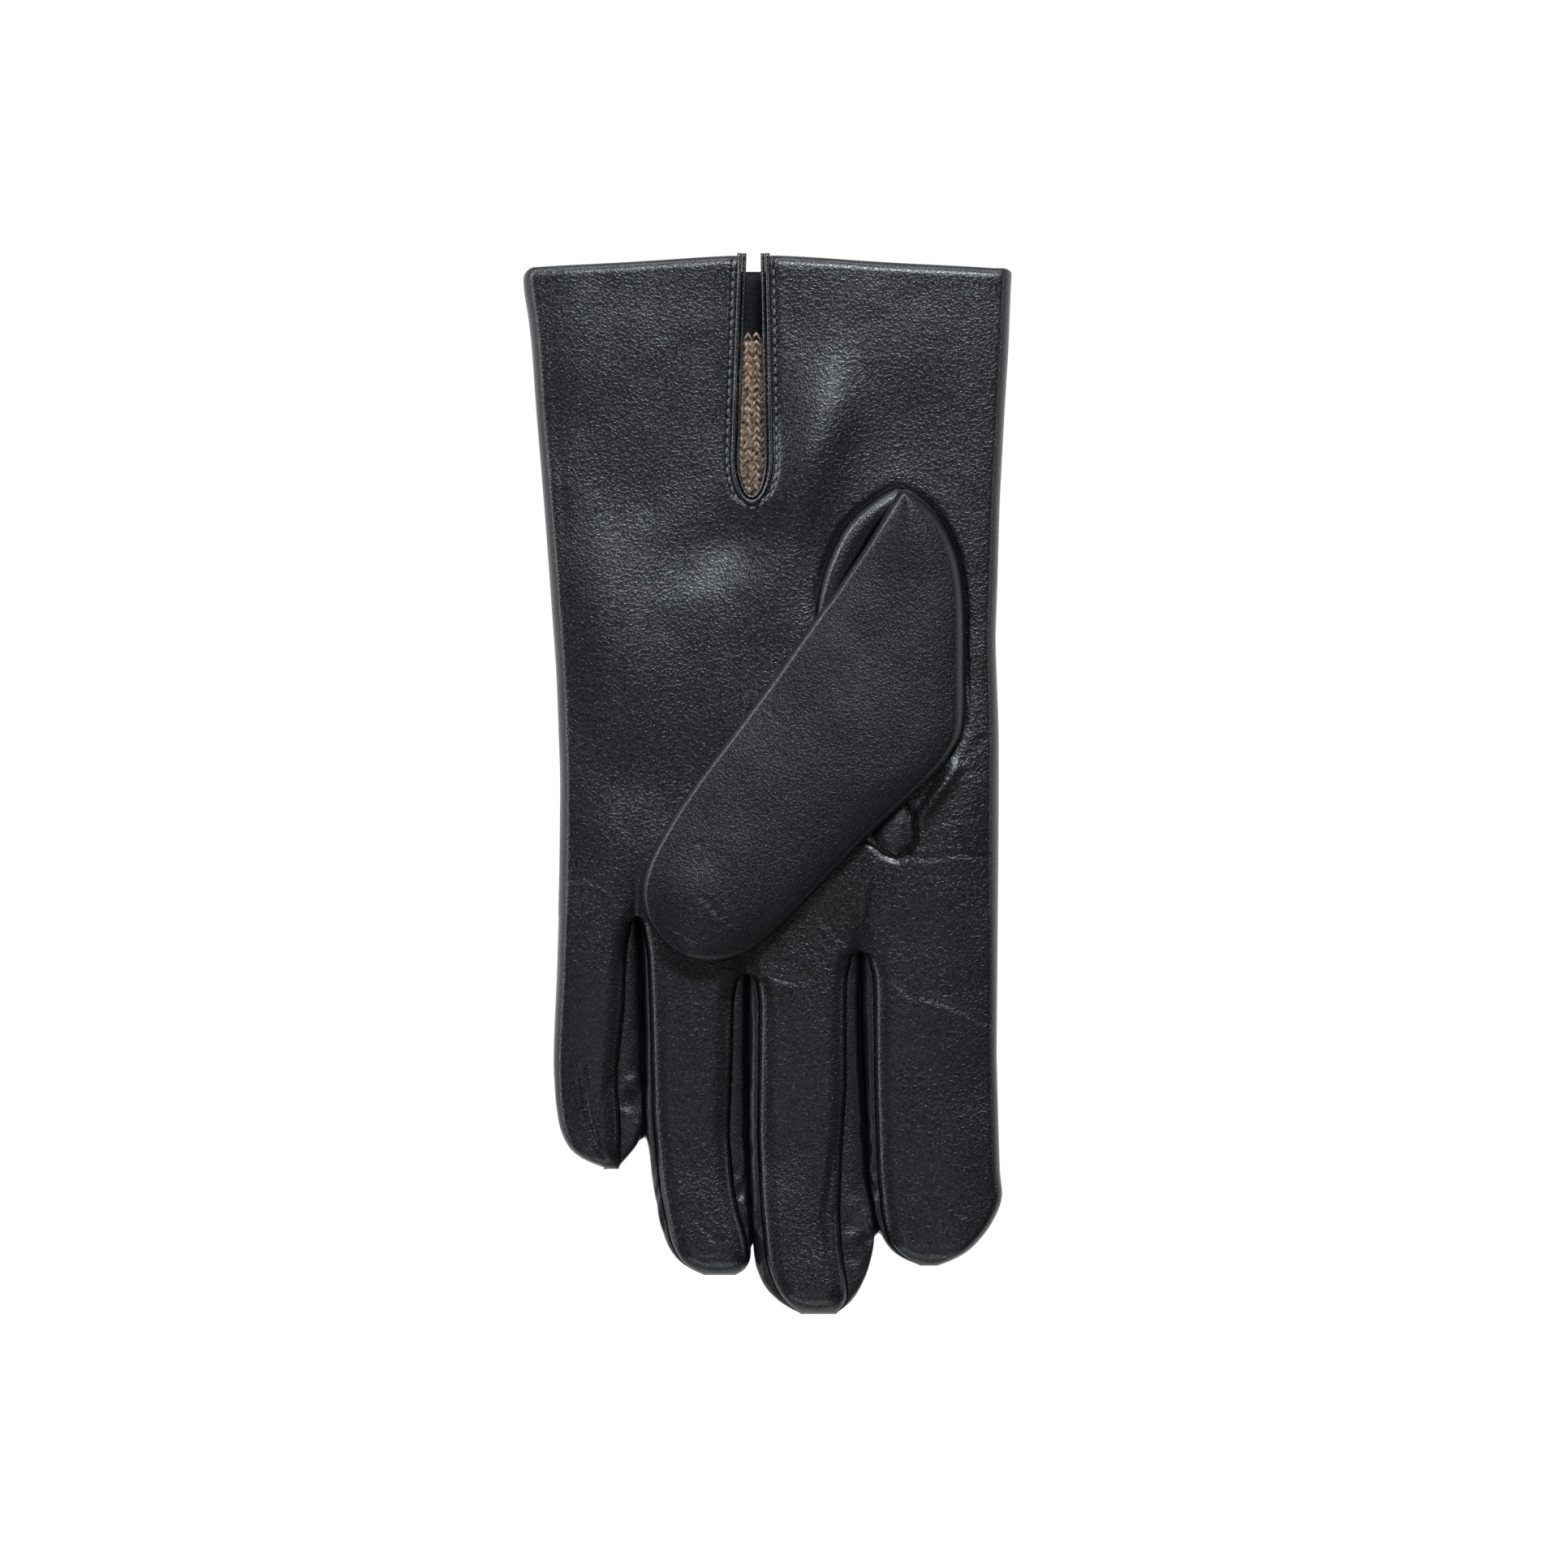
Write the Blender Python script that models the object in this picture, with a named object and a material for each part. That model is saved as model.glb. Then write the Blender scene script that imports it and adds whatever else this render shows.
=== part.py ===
"""Left-hand leather dress glove lying on its back: palm up, cuff towards +Y, thumb folded over the palm."""
import math

import bmesh
import bpy
import numpy as np
from mathutils import Matrix, Vector

# Driving dimensions, in millimetres.
HAND_THICKNESS = 12.0
LEATHER = 0.7
LINING = 1.0
PLY_GAP = 0.3
SEAM_GAP = 0.3
EDGE_RADIUS = 5.0
CUFF_Y = 121.2
CUFF_RISE = 3.2
HEM_DEPTH = 17.0
KNUCKLE_Y = -46.5
LITTLE_KNUCKLE_Y = -36.0
THUMB_FLOOR = 12.6
THUMB_THICKNESS = 8.4
THUMB_HINGE = (46.3, 36.0, 12.3)
KNUCKLE_X = {"little": -40.4, "ring": -17.7, "middle": 8.2, "index": 38.1}
THUMB_PIECES = ("thumb_upper_panel", "thumb_under_panel", "thumb_lining")
HOLE_CENTRE = (35.0, 38.0)
HOLE_RADII = (7.5, 20.0)
BEAD_WIDTH = 1.9
BEAD_HEIGHT = 2.2
THREAD = 0.5
LINING_THUMB = 0.8

# Outline points, as (y, x) from the cuff towards the fingertips.
HAND_LEFT = ((121.2, -57.1), (104.3, -55.8), (60.4, -52.5), (26.0, -50.0), (1.0, -49.1), (-46.5, -49.9))
HAND_RIGHT = ((121.2, 57.1), (104.3, 56.5), (66.0, 54.4), (34.0, 53.4), (12.6, 54.2), (-46.5, 53.9))
# name: knuckle y, left outline, right outline, tip thickness, fourchette on the left, fourchette on the right
FINGERS = {
    "little": (LITTLE_KNUCKLE_Y,
               ((-36.0, -49.7), (-65.0, -50.7), (-75.0, -50.2), (-82.5, -49.0), (-88.2, -44.6), (-90.7, -41.4)),
               ((-36.0, -31.0), (-65.0, -31.0), (-81.0, -30.8), (-86.9, -32.0), (-90.7, -34.2)),
               9.0, False, True),
    "ring": (KNUCKLE_Y,
             ((-46.5, -29.6), (-82.0, -29.3), (-95.0, -27.2), (-104.0, -25.6), (-109.2, -23.7), (-113.0, -21.0),
              (-115.7, -15.5)),
             ((-46.5, -5.9), (-83.0, -6.0), (-98.0, -5.4), (-110.0, -4.6), (-114.0, -5.0), (-115.7, -8.0)),
             9.0, True, True),
    "middle": (KNUCKLE_Y,
               ((-46.5, -4.7), (-83.0, -4.8), (-98.0, -4.2), (-110.0, -3.3), (-118.3, -1.5), (-121.9, 1.7),
                (-124.9, 7.5)),
               ((-46.5, 21.1), (-71.0, 21.1), (-93.0, 22.4), (-105.0, 24.6), (-115.0, 23.0), (-120.3, 21.1),
                (-124.9, 16.0)),
               9.5, True, True),
    "index": (KNUCKLE_Y,
              ((-46.5, 22.3), (-71.0, 22.4), (-93.0, 23.7), (-105.2, 26.0), (-109.0, 27.6), (-111.5, 30.2),
               (-113.5, 34.0)),
              ((-46.5, 53.9), (-83.0, 54.2), (-97.0, 55.0), (-99.5, 54.4), (-104.9, 51.8), (-109.4, 48.3),
               (-113.5, 41.5)),
              9.0, True, False),
}
# crotch name: inner slot left x, inner slot right x, crotch y, left leg end y, right leg end y
CROTCHES = {
    "little_ring": (-31.0, -29.6, -31.5, LITTLE_KNUCKLE_Y, KNUCKLE_Y),
    "ring_middle": (-5.9, -4.7, -41.5, KNUCKLE_Y, KNUCKLE_Y),
    "middle_index": (21.1, 22.3, -39.3, KNUCKLE_Y, KNUCKLE_Y),
}
THUMB_LEFT = ((30.5, 69.2), (22.5, 55.5), (14.1, 43.0), (0.3, 23.9), (-16.5, 1.6), (-25.8, -13.0), (-29.6, -21.5),
              (-30.0, -27.5), (-27.7, -33.7), (-23.5, -38.0))
THUMB_RIGHT = ((33.5, 69.0), (40.4, 62.5), (45.0, 48.0), (45.8, 24.6), (44.8, 10.5), (33.3, -3.0), (23.3, -12.2),
               (10.3, -26.0), (0.3, -36.0), (-14.5, -41.9))
BASE_LEFT = ((29.0, 69.5), (24.6, 66.9), (18.6, 61.5), (14.8, 54.5), (12.4, 46.0), (11.0, 40.2))
BASE_RIGHT = ((30.0, 69.3), (25.6, 61.2), (21.6, 55.0), (18.0, 49.6), (14.4, 44.3), (11.5, 40.2))
QUIRK_LEFT = ((29.6, -6.9), (27.6, -9.2), (26.6, -13.0), (28.6, -16.6))
QUIRK_RIGHT = ((32.6, -4.9), (33.3, -8.0), (33.2, -13.0), (31.2, -16.6))
VENT_TOP = (-3.55, 2.8)
VENT_ARC = (-3.95, 4.05)
VENT_ARC_Y = 76.6
VENT_DEPTH = 10.0

BLACK = (0.021, 0.024, 0.03)
BROWN = (0.2, 0.125, 0.08)


def clear_scene():
    for ob in list(bpy.data.objects):
        bpy.data.objects.remove(ob, do_unlink=True)


def material(name, colour, roughness):
    mat = bpy.data.materials.new(name)
    mat.use_nodes = True
    shader = mat.node_tree.nodes["Principled BSDF"]
    shader.inputs["Base Color"].default_value = (*colour, 1.0)
    shader.inputs["Roughness"].default_value = roughness
    return mat


def leather(node):
    return material(node + "_leather", BLACK, 0.4)


def knit(node):
    return material(node + "_knit", BROWN, 0.9)


def make_object(name, bm, mat):
    """Turns a bmesh in millimetres into a smooth-shaded object in metres."""
    bmesh.ops.remove_doubles(bm, verts=bm.verts, dist=0.002)
    bmesh.ops.recalc_face_normals(bm, faces=bm.faces)
    if bm.calc_volume(signed=True) < 0.0:
        bmesh.ops.reverse_faces(bm, faces=bm.faces)
    bmesh.ops.scale(bm, vec=Vector((0.001, 0.001, 0.001)), verts=bm.verts)
    mesh = bpy.data.meshes.new(name)
    bm.to_mesh(mesh)
    bm.free()
    mesh.shade_smooth()
    ob = bpy.data.objects.new(name, mesh)
    bpy.context.scene.collection.objects.link(ob)
    ob.data.materials.append(mat)
    return ob


def cutter(name, outline, low, high):
    """An upright prism on a plan outline, used only to cut other pieces."""
    bm = bmesh.new()
    bottom = [bm.verts.new((x, y, low)) for x, y in outline]
    top = [bm.verts.new((x, y, high)) for x, y in outline]
    bm.faces.new(bottom[::-1])
    bm.faces.new(top)
    count = len(outline)
    for i in range(count):
        j = (i + 1) % count
        bm.faces.new((bottom[i], bottom[j], top[j], top[i]))
    ob = make_object(name, bm, leather(name))
    ob.hide_render = True
    ob.display_type = "WIRE"
    return ob


def cut(ob, tool):
    mod = ob.modifiers.new("cut_" + tool.name, "BOOLEAN")
    mod.operation = "DIFFERENCE"
    mod.solver = "EXACT"
    mod.object = tool


def along(points, count):
    """Points spaced evenly by length along a polyline."""
    pts = np.array(points, dtype=float)
    length = np.concatenate(([0.0], np.cumsum(np.hypot(*np.diff(pts, axis=0).T))))
    at = np.linspace(0.0, length[-1], count)
    return np.column_stack((np.interp(at, length, pts[:, 0]), np.interp(at, length, pts[:, 1])))


def edge_x(outline, y):
    """The x of an outline given as (y, x) points that run downwards in y."""
    ys = [-p[0] for p in outline]
    xs = [p[1] for p in outline]
    return float(np.interp(-y, ys, xs))


def arc(low, high, steps):
    return [low + (high - low) * i / steps for i in range(steps + 1)]


def face_columns(first, last, steps, middle):
    """Columns over one face: up the left edge from angle first, across, and down the right edge to angle last."""
    columns = [("L", a) for a in arc(first, 90.0, steps)]
    columns += [("M", i / (middle + 1)) for i in range(1, middle + 1)]
    columns += [("R", a) for a in arc(90.0, last, steps)]
    return columns


def ring_columns(steps, middle):
    """Columns all the way round: the top face first, then the bottom face back again."""
    top = [("L", a) for a in arc(0.0, 90.0, steps)]
    top += [("M", i / (middle + 1)) for i in range(1, middle + 1)]
    top += [("R", a) for a in arc(90.0, 0.0, steps)]
    bottom = [("R", a) for a in arc(0.0, -90.0, steps)][1:]
    bottom += [("N", 1.0 - i / (middle + 1)) for i in range(1, middle + 1)]
    bottom += [("L", a) for a in arc(-90.0, 0.0, steps)][:-1]
    return top + bottom


def section_point(row, column, sign, inset, split):
    """One point of a row: its edges are quarter ellipses, and its faces are flat between them."""
    left, right, mid, half, crown = row
    kind, value = column
    span = right - left
    width = float(np.hypot(*span))
    span = span / width
    radius = max(min(EDGE_RADIUS, 0.46 * width) - inset, 0.3)
    start, end = inset, width - inset
    height = half - inset
    if kind == "L":
        across = start + radius * (1.0 - math.cos(math.radians(value)))
        lift = math.sin(math.radians(value))
    elif kind == "R":
        across = end - radius * (1.0 - math.cos(math.radians(value)))
        lift = math.sin(math.radians(value))
    else:
        across = start + radius + (end - start - 2.0 * radius) * value
        lift = -1.0 if kind == "N" else 1.0
    flat = split / 2.0
    z = mid + sign * (flat + (height - flat) * crown * lift)
    return (*(left + span * across), z)


def sheet(name, rows, inner_rows, columns, mat, insets, sign=1.0, split=0.0, closed=False, open_ends=(0, -1)):
    """A thin curved skin between an outer and an inner grid, with a rim at each of its open ends."""
    bm = bmesh.new()
    skins = []
    for grid_rows, inset in zip((rows, inner_rows), insets):
        skins.append([[bm.verts.new(section_point(row, column, sign, inset, split)) for column in columns]
                      for row in grid_rows])
    count = len(columns)
    last = count if closed else count - 1
    for grid in skins:
        for upper, lower in zip(grid, grid[1:]):
            for i in range(last):
                j = (i + 1) % count
                bm.faces.new((upper[i], lower[i], lower[j], upper[j]))
    outer, inner = skins
    for end in open_ends:
        for i in range(last):
            j = (i + 1) % count
            bm.faces.new((outer[end][i], outer[end][j], inner[end][j], inner[end][i]))
    if not closed:
        for side in (0, -1):
            for k in range(len(rows) - 1):
                bm.faces.new((outer[k][side], outer[k + 1][side], inner[k + 1][side], inner[k][side]))
    return make_object(name, bm, mat)


def hand_rows(start, end, count):
    """Rows across the hand between two heights of y."""
    rows = []
    for y in np.linspace(start, end, count):
        left = np.array((edge_x(HAND_LEFT, y), y))
        right = np.array((edge_x(HAND_RIGHT, y), y))
        rows.append((left, right, HAND_THICKNESS / 2.0, HAND_THICKNESS / 2.0, 1.0))
    return rows


def finger_rows(finger, inset=0.0):
    knuckle, left, right, tip_thickness = FINGERS[finger][:4]
    start = knuckle - SEAM_GAP / 2.0
    tip = left[-1][0] + inset
    radius = EDGE_RADIUS - inset
    straight = np.linspace(start, tip + radius, 7)
    rounded = [tip + radius * (1.0 - math.sin(a)) for a in np.radians((22.5, 45.0, 67.5, 90.0))]
    rows = []
    for y in list(straight) + rounded:
        rise = max(0.0, 1.0 - (y - tip) / radius)
        crown = math.sqrt(max(0.0, 1.0 - rise * rise))
        share = (knuckle - y) / (knuckle - tip)
        half = (HAND_THICKNESS + (tip_thickness - HAND_THICKNESS) * share) / 2.0
        outline_y = y if inset == 0.0 else y - inset * share
        ends = (np.array((edge_x(left, outline_y), y)), np.array((edge_x(right, outline_y), y)))
        rows.append((*ends, half, half, crown))
    return rows


def leaf_rows(left, right, count, floor, thickness, rounded, margins):
    """Rows between the edges of a leaf shape lying on the palm; margins are the shares left free at its ends."""
    lefts = along(left, count)
    rights = along(right, count)
    index = np.linspace(0.0, 1.0, count)
    ends = np.array((0.0, 0.012, 0.04, 0.08))
    places = list(index)
    if rounded:
        places = list(ends) + list(np.linspace(0.14, 0.9, count - 6)) + list(1.0 - ends[::-1] * 0.7)
    start, end = margins[0], 1.0 - margins[1]
    rows = []
    for place in places:
        at = start + place * (end - start)
        a = np.array([np.interp(at, index, lefts[:, k]) for k in (0, 1)])
        b = np.array([np.interp(at, index, rights[:, k]) for k in (0, 1)])
        crown = 1.0
        if rounded:
            near = min(place / 0.08, (1.0 - place) / 0.056, 1.0)
            crown = math.sqrt(max(0.0, 1.0 - (1.0 - near) ** 2))
        rows.append((a, b, floor + thickness / 2.0, thickness / 2.0, crown))
    return rows


def rectangle(x0, x1, y0, y1):
    return [(x0, y0), (x1, y0), (x1, y1), (x0, y1)]


def slot_outline(x0, x1, top, bottom):
    """An upright slot, open downwards, with a round upper end."""
    radius = (x1 - x0) / 2.0
    centre = (x0 + x1) / 2.0
    points = [(x0, bottom), (x1, bottom)]
    for angle in arc(0.0, 180.0, 6):
        a = math.radians(angle)
        points.append((centre + radius * math.cos(a), top - radius + radius * math.sin(a)))
    return points


def oval(centre, radii, count=20):
    angles = [2.0 * math.pi * i / count for i in range(count)]
    return [(centre[0] + radii[0] * math.cos(a), centre[1] + radii[1] * math.sin(a)) for a in angles]


def vent_path(offset, top, steps=8, sides=3):
    """The U line round the vent slit, at a distance from the middle of the binding."""
    centre_top, half_top = VENT_TOP
    centre_arc, half_arc = VENT_ARC
    left = []
    right = []
    for y in np.linspace(top, VENT_ARC_Y, sides):
        share = (top - y) / (top - VENT_ARC_Y)
        centre = centre_top + (centre_arc - centre_top) * share
        half = half_top + (half_arc - half_top) * share + offset
        left.append((centre - half, float(y)))
        right.append((centre + half, float(y)))
    curve = []
    for angle in arc(180.0, 360.0, steps)[1:-1]:
        a = math.radians(angle)
        x = centre_arc + (half_arc + offset) * math.cos(a)
        curve.append((x, VENT_ARC_Y + (VENT_DEPTH + offset) * math.sin(a)))
    return left + curve + right[::-1]


def rod(name, path, z, width, height, mat, sides):
    """A solid cord of oval section swept along a path at one height."""
    bm = bmesh.new()
    pts = np.array(path, dtype=float)
    steps = np.gradient(pts, axis=0)
    rings = []
    for point, step in zip(pts, steps):
        normal = np.array((-step[1], step[0])) / np.hypot(*step)
        ring = []
        for i in range(sides):
            a = 2.0 * math.pi * (i + 0.5) / sides
            plan = point + normal * (width / 2.0 * math.cos(a))
            ring.append(bm.verts.new((plan[0], plan[1], z + height / 2.0 * math.sin(a))))
        rings.append(ring)
    for first, second in zip(rings, rings[1:]):
        for i in range(sides):
            j = (i + 1) % sides
            bm.faces.new((first[i], first[j], second[j], second[i]))
    bm.faces.new(rings[0][::-1])
    bm.faces.new(rings[-1])
    return make_object(name, bm, mat)


def wall(name, path, low, high, mat):
    """An upright leather strip along a path, thickened to its left."""
    bm = bmesh.new()
    pts = np.array(path, dtype=float)
    steps = np.gradient(pts, axis=0)
    rings = []
    for point, step in zip(pts, steps):
        normal = np.array((-step[1], step[0])) / np.hypot(*step)
        outer = point + normal * LEATHER
        ring = [(*point, low), (*point, high), (*outer, high), (*outer, low)]
        rings.append([bm.verts.new(p) for p in ring])
    for first, second in zip(rings, rings[1:]):
        for i in range(4):
            j = (i + 1) % 4
            bm.faces.new((first[i], first[j], second[j], second[i]))
    bm.faces.new(rings[0][::-1])
    bm.faces.new(rings[-1])
    return make_object(name, bm, mat)


def make_cutters():
    tools = {}
    outline = vent_path(BEAD_WIDTH / 2.0 + SEAM_GAP, 130.0)
    tools["vent"] = cutter("cut_vent", outline, 8.0, 20.0)
    tools["hole"] = cutter("cut_hole", oval(HOLE_CENTRE, HOLE_RADII), 8.0, 16.0)
    edge = LEATHER + SEAM_GAP
    for name, (x0, x1, top, _, _) in CROTCHES.items():
        slot = slot_outline(x0 - edge, x1 + edge, top + edge, -60.0)
        tools[name] = cutter("cut_" + name, slot, -5.0, 20.0)
    x0, x1 = CROTCHES["little_ring"][:2]
    little = rectangle(-70.0, (x0 + x1) / 2.0, -60.0, LITTLE_KNUCKLE_Y + SEAM_GAP / 2.0)
    tools["little_end"] = cutter("cut_little_end", little, -5.0, 20.0)
    return tools


def cut_finger_gaps(ob, tools):
    for name in ("little_ring", "ring_middle", "middle_index", "little_end"):
        cut(ob, tools[name])


def raise_cuff(ob):
    """Bows the cuff edge outwards in the middle of the glove, easing off down the wrist."""
    for vertex in ob.data.vertices:
        x, y = vertex.co.x * 1000.0, vertex.co.y * 1000.0
        ease = max(0.0, (y - 60.0) / (CUFF_Y - 60.0))
        rise = CUFF_RISE * (1.0 - (x / 57.1) ** 2) * ease
        vertex.co.y = (y + rise) / 1000.0


def build_hand(tools):
    end = KNUCKLE_Y + SEAM_GAP / 2.0
    rows = hand_rows(CUFF_Y, end, 17)
    columns = face_columns(0.0, 0.0, 4, 9)
    skin = (0.0, LEATHER)
    palm = sheet("trank_palm", rows, rows, columns, leather("trank_palm"), skin, 1.0, SEAM_GAP)
    back = sheet("trank_back", rows, rows, columns, leather("trank_back"), skin, -1.0, SEAM_GAP)
    hem_rows = hand_rows(CUFF_Y - 0.3, CUFF_Y - HEM_DEPTH, 4)
    ring = ring_columns(3, 7)
    depth = LEATHER + PLY_GAP
    hem_skin = (depth, depth + LEATHER)
    hem = sheet("cuff_hem", hem_rows, hem_rows, ring, leather("cuff_hem"), hem_skin, closed=True)
    lining_rows = hand_rows(CUFF_Y - HEM_DEPTH - 0.5, end, 13)
    ply = (depth, depth + LINING)
    lining = sheet("hand_lining", lining_rows, lining_rows, ring, knit("hand_lining"), ply, closed=True)
    for ob in (palm, back, hem, lining):
        raise_cuff(ob)
    for ob in (palm, hem, lining):
        cut(ob, tools["vent"])
    for ob in (palm, lining):
        cut(ob, tools["hole"])
    for ob in (palm, back, lining):
        cut_finger_gaps(ob, tools)


def build_vent():
    top = CUFF_Y + CUFF_RISE + 0.45
    path = vent_path(0.0, top, 10, 4)
    bead_z = HAND_THICKNESS - 0.35
    rod("vent_binding", path, bead_z, BEAD_WIDTH, BEAD_HEIGHT, leather("vent_binding"), 8)
    stitch = vent_path(2.6, top - 1.6, 12, 4)
    thread_z = HAND_THICKNESS + THREAD / 2.0 + 0.05
    rod("vent_stitching", stitch, thread_z, THREAD, THREAD, material("black_thread", BLACK, 0.6), 6)


def build_forks():
    for name, (x0, x1, top, left_end, right_end) in CROTCHES.items():
        radius = (x1 - x0) / 2.0
        centre = (x0 + x1) / 2.0
        path = [(x1, right_end + SEAM_GAP / 2.0), (x1, top - radius)]
        for angle in arc(0.0, 180.0, 6)[1:-1]:
            a = math.radians(angle)
            path.append((centre + radius * math.cos(a), top - radius + radius * math.sin(a)))
        path += [(x0, top - radius), (x0, left_end + SEAM_GAP / 2.0)]
        node = "fourchette_" + name
        wall(node, path[::-1], 0.3, HAND_THICKNESS - 0.3, leather(node))


def build_finger(finger):
    left_strip, right_strip = FINGERS[finger][4:]
    rows = finger_rows(finger)
    inner = finger_rows(finger, LEATHER)
    skin = (0.0, LEATHER)
    strip = 42.0
    top = face_columns(strip if left_strip else 0.0, strip if right_strip else 0.0, 3, 3)
    panel = finger + "_palm_panel"
    sheet(panel, rows, inner, top, leather(panel), skin, 1.0, SEAM_GAP)
    panel = finger + "_back_panel"
    sheet(panel, rows, inner, top, leather(panel), skin, -1.0, SEAM_GAP)
    reach = strip - 4.0
    for side, wanted in (("L", left_strip), ("R", right_strip)):
        if not wanted:
            continue
        word = "left" if side == "L" else "right"
        node = finger + "_fourchette_" + word
        angles = [(side, a) for a in arc(-reach, reach, 4)]
        sheet(node, rows[:-2], inner[:-2], angles, leather(node), skin)
    depth = LEATHER + PLY_GAP
    node = finger + "_lining"
    ply = (depth, depth + LINING)
    outer_rows = finger_rows(finger, ply[0])
    inner_rows = finger_rows(finger, ply[1])
    sheet(node, outer_rows, inner_rows, ring_columns(3, 3), knit(node), ply, closed=True, open_ends=(0,))


def thumb_rows(margins):
    return leaf_rows(THUMB_LEFT, THUMB_RIGHT, 15, THUMB_FLOOR, THUMB_THICKNESS, True, margins)


def build_thumb(tools):
    rows = thumb_rows((0.0, 0.0))
    inner = thumb_rows((0.008, 0.006))
    columns = face_columns(0.0, 0.0, 4, 4)
    skin = (0.0, LEATHER)
    node = "thumb_upper_panel"
    sheet(node, rows, inner, columns, leather(node), skin, 1.0, SEAM_GAP)
    node = "thumb_under_panel"
    under = sheet(node, rows, inner, columns, leather(node), skin, -1.0, SEAM_GAP)
    depth = LEATHER + PLY_GAP
    ply = (depth, depth + LINING_THUMB)
    node = "thumb_lining"
    outer_rows = thumb_rows((0.1, 0.012))
    inner_rows = thumb_rows((0.11, 0.02))
    around = ring_columns(3, 4)
    lining = sheet(node, outer_rows, inner_rows, around, knit(node), ply, closed=True, open_ends=())
    cut(under, tools["hole"])
    cut(lining, tools["hole"])
    base = leaf_rows(BASE_LEFT, BASE_RIGHT, 8, THUMB_FLOOR - 4.4, 8.8, False, (0.0, 0.0))
    node = "thumb_base_fold"
    sheet(node, base, base, [("L", a) for a in arc(4.0, 90.0, 5)], leather(node), skin)
    quirk = leaf_rows(QUIRK_LEFT, QUIRK_RIGHT, 6, HAND_THICKNESS - 1.0, 2.6, False, (0.0, 0.0))
    node = "thumb_quirk"
    sheet(node, quirk, quirk, face_columns(3.0, 3.0, 2, 1), leather(node), skin)


def pivot(name, place):
    """An empty on a folding line, which carries the pieces that fold about it."""
    empty = bpy.data.objects.new(name, None)
    empty.empty_display_size = 0.01
    empty.location = Vector(place) * 0.001
    bpy.context.scene.collection.objects.link(empty)
    return empty


def hang(ob, carrier):
    """Hands a piece to its carrier without moving it."""
    ob.data.transform(Matrix.Translation(-carrier.location))
    ob.parent = carrier


def hang_fingers():
    for finger, x in KNUCKLE_X.items():
        y = FINGERS[finger][0]
        carrier = pivot(finger + "_knuckle_line", (x, y, HAND_THICKNESS))
        for ob in list(bpy.data.objects):
            if ob.type == "MESH" and ob.name.startswith(finger + "_"):
                hang(ob, carrier)


def hang_thumb():
    carrier = pivot("thumb_fold_line", THUMB_HINGE)
    for name in THUMB_PIECES:
        hang(bpy.data.objects[name], carrier)


def main():
    clear_scene()
    tools = make_cutters()
    build_hand(tools)
    build_vent()
    build_forks()
    for finger in FINGERS:
        build_finger(finger)
    build_thumb(tools)
    hang_fingers()
    hang_thumb()


main()
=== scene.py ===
import math

import bpy
import numpy as np
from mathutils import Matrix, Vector


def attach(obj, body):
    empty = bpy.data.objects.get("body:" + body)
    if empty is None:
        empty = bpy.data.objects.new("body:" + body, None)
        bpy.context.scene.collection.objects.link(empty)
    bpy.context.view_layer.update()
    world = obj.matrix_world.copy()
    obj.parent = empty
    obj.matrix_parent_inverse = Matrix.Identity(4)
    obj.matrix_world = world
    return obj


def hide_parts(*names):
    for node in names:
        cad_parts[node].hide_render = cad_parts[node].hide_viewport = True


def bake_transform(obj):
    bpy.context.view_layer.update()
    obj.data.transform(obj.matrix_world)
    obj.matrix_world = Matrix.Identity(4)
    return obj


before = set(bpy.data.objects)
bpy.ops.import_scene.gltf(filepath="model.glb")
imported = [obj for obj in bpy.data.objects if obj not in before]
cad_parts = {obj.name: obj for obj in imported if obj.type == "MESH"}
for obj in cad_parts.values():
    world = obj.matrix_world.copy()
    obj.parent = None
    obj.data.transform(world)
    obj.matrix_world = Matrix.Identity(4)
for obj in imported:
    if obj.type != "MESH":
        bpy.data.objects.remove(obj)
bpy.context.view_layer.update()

# A left leather glove lying palm up: fingers towards -y, cuff towards +y, thumb folded over the palm.
# Shapes are worked out in millimetres, and mesh_from() turns them into metres.

# ---------------------------------------------------------------- shared dimensions
MID = 6.0  # height of the side folds
TOP = 12.0  # height of the palm's CAD panel
SKIN = TOP - 0.4  # height of the palm leather before its relief
EDGE_LIFT = 0.05  # the palm leather starts this far above the side fold
CUFF_Y = 122.5  # nominal palm-side cuff row
BACK_CUFF_Y = 120.9  # the back's cuff row, a little shorter
JOIN_Y = -31.0  # row where the palm piece hands over to the finger pieces
WRAP = 2.7  # width of the rounded side edges
WRAPS = 12  # points round a side edge
TIP_ROUND = 6.0  # length over which a fingertip rounds off
SLIT_X = -3.95  # middle of the slit
SLIT_TOP, SLIT_NOSE, SLIT_BOTTOM = 124.9, 76.6, 65.9  # open end, start of the rounded end, bottom
THUMB_HOLE = (35.0, 36.5, 6.6, 16.5)  # centre x, centre y and half sizes of the opening into the thumb
THUMB_LENGTH = 140.0


def smoothstep(t):
    """0 to 1 with soft ends."""
    t = np.clip(t, 0.0, 1.0)
    return t * t * (3.0 - 2.0 * t)


def blur(value, width, half):
    """Smooths a row of numbers with a bell of the given width, reaching half places each way."""
    kernel = np.exp(-0.5 * (np.arange(-half, half + 1) / width) ** 2)
    kernel /= kernel.sum()
    return np.convolve(np.pad(value, half, mode="reflect", reflect_type="odd"), kernel, mode="valid")


def run_length(*columns):
    """Length run along a polyline at each of its points."""
    return np.concatenate(([0.0], np.cumsum(np.hypot(*(np.diff(column) for column in columns)))))


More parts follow.
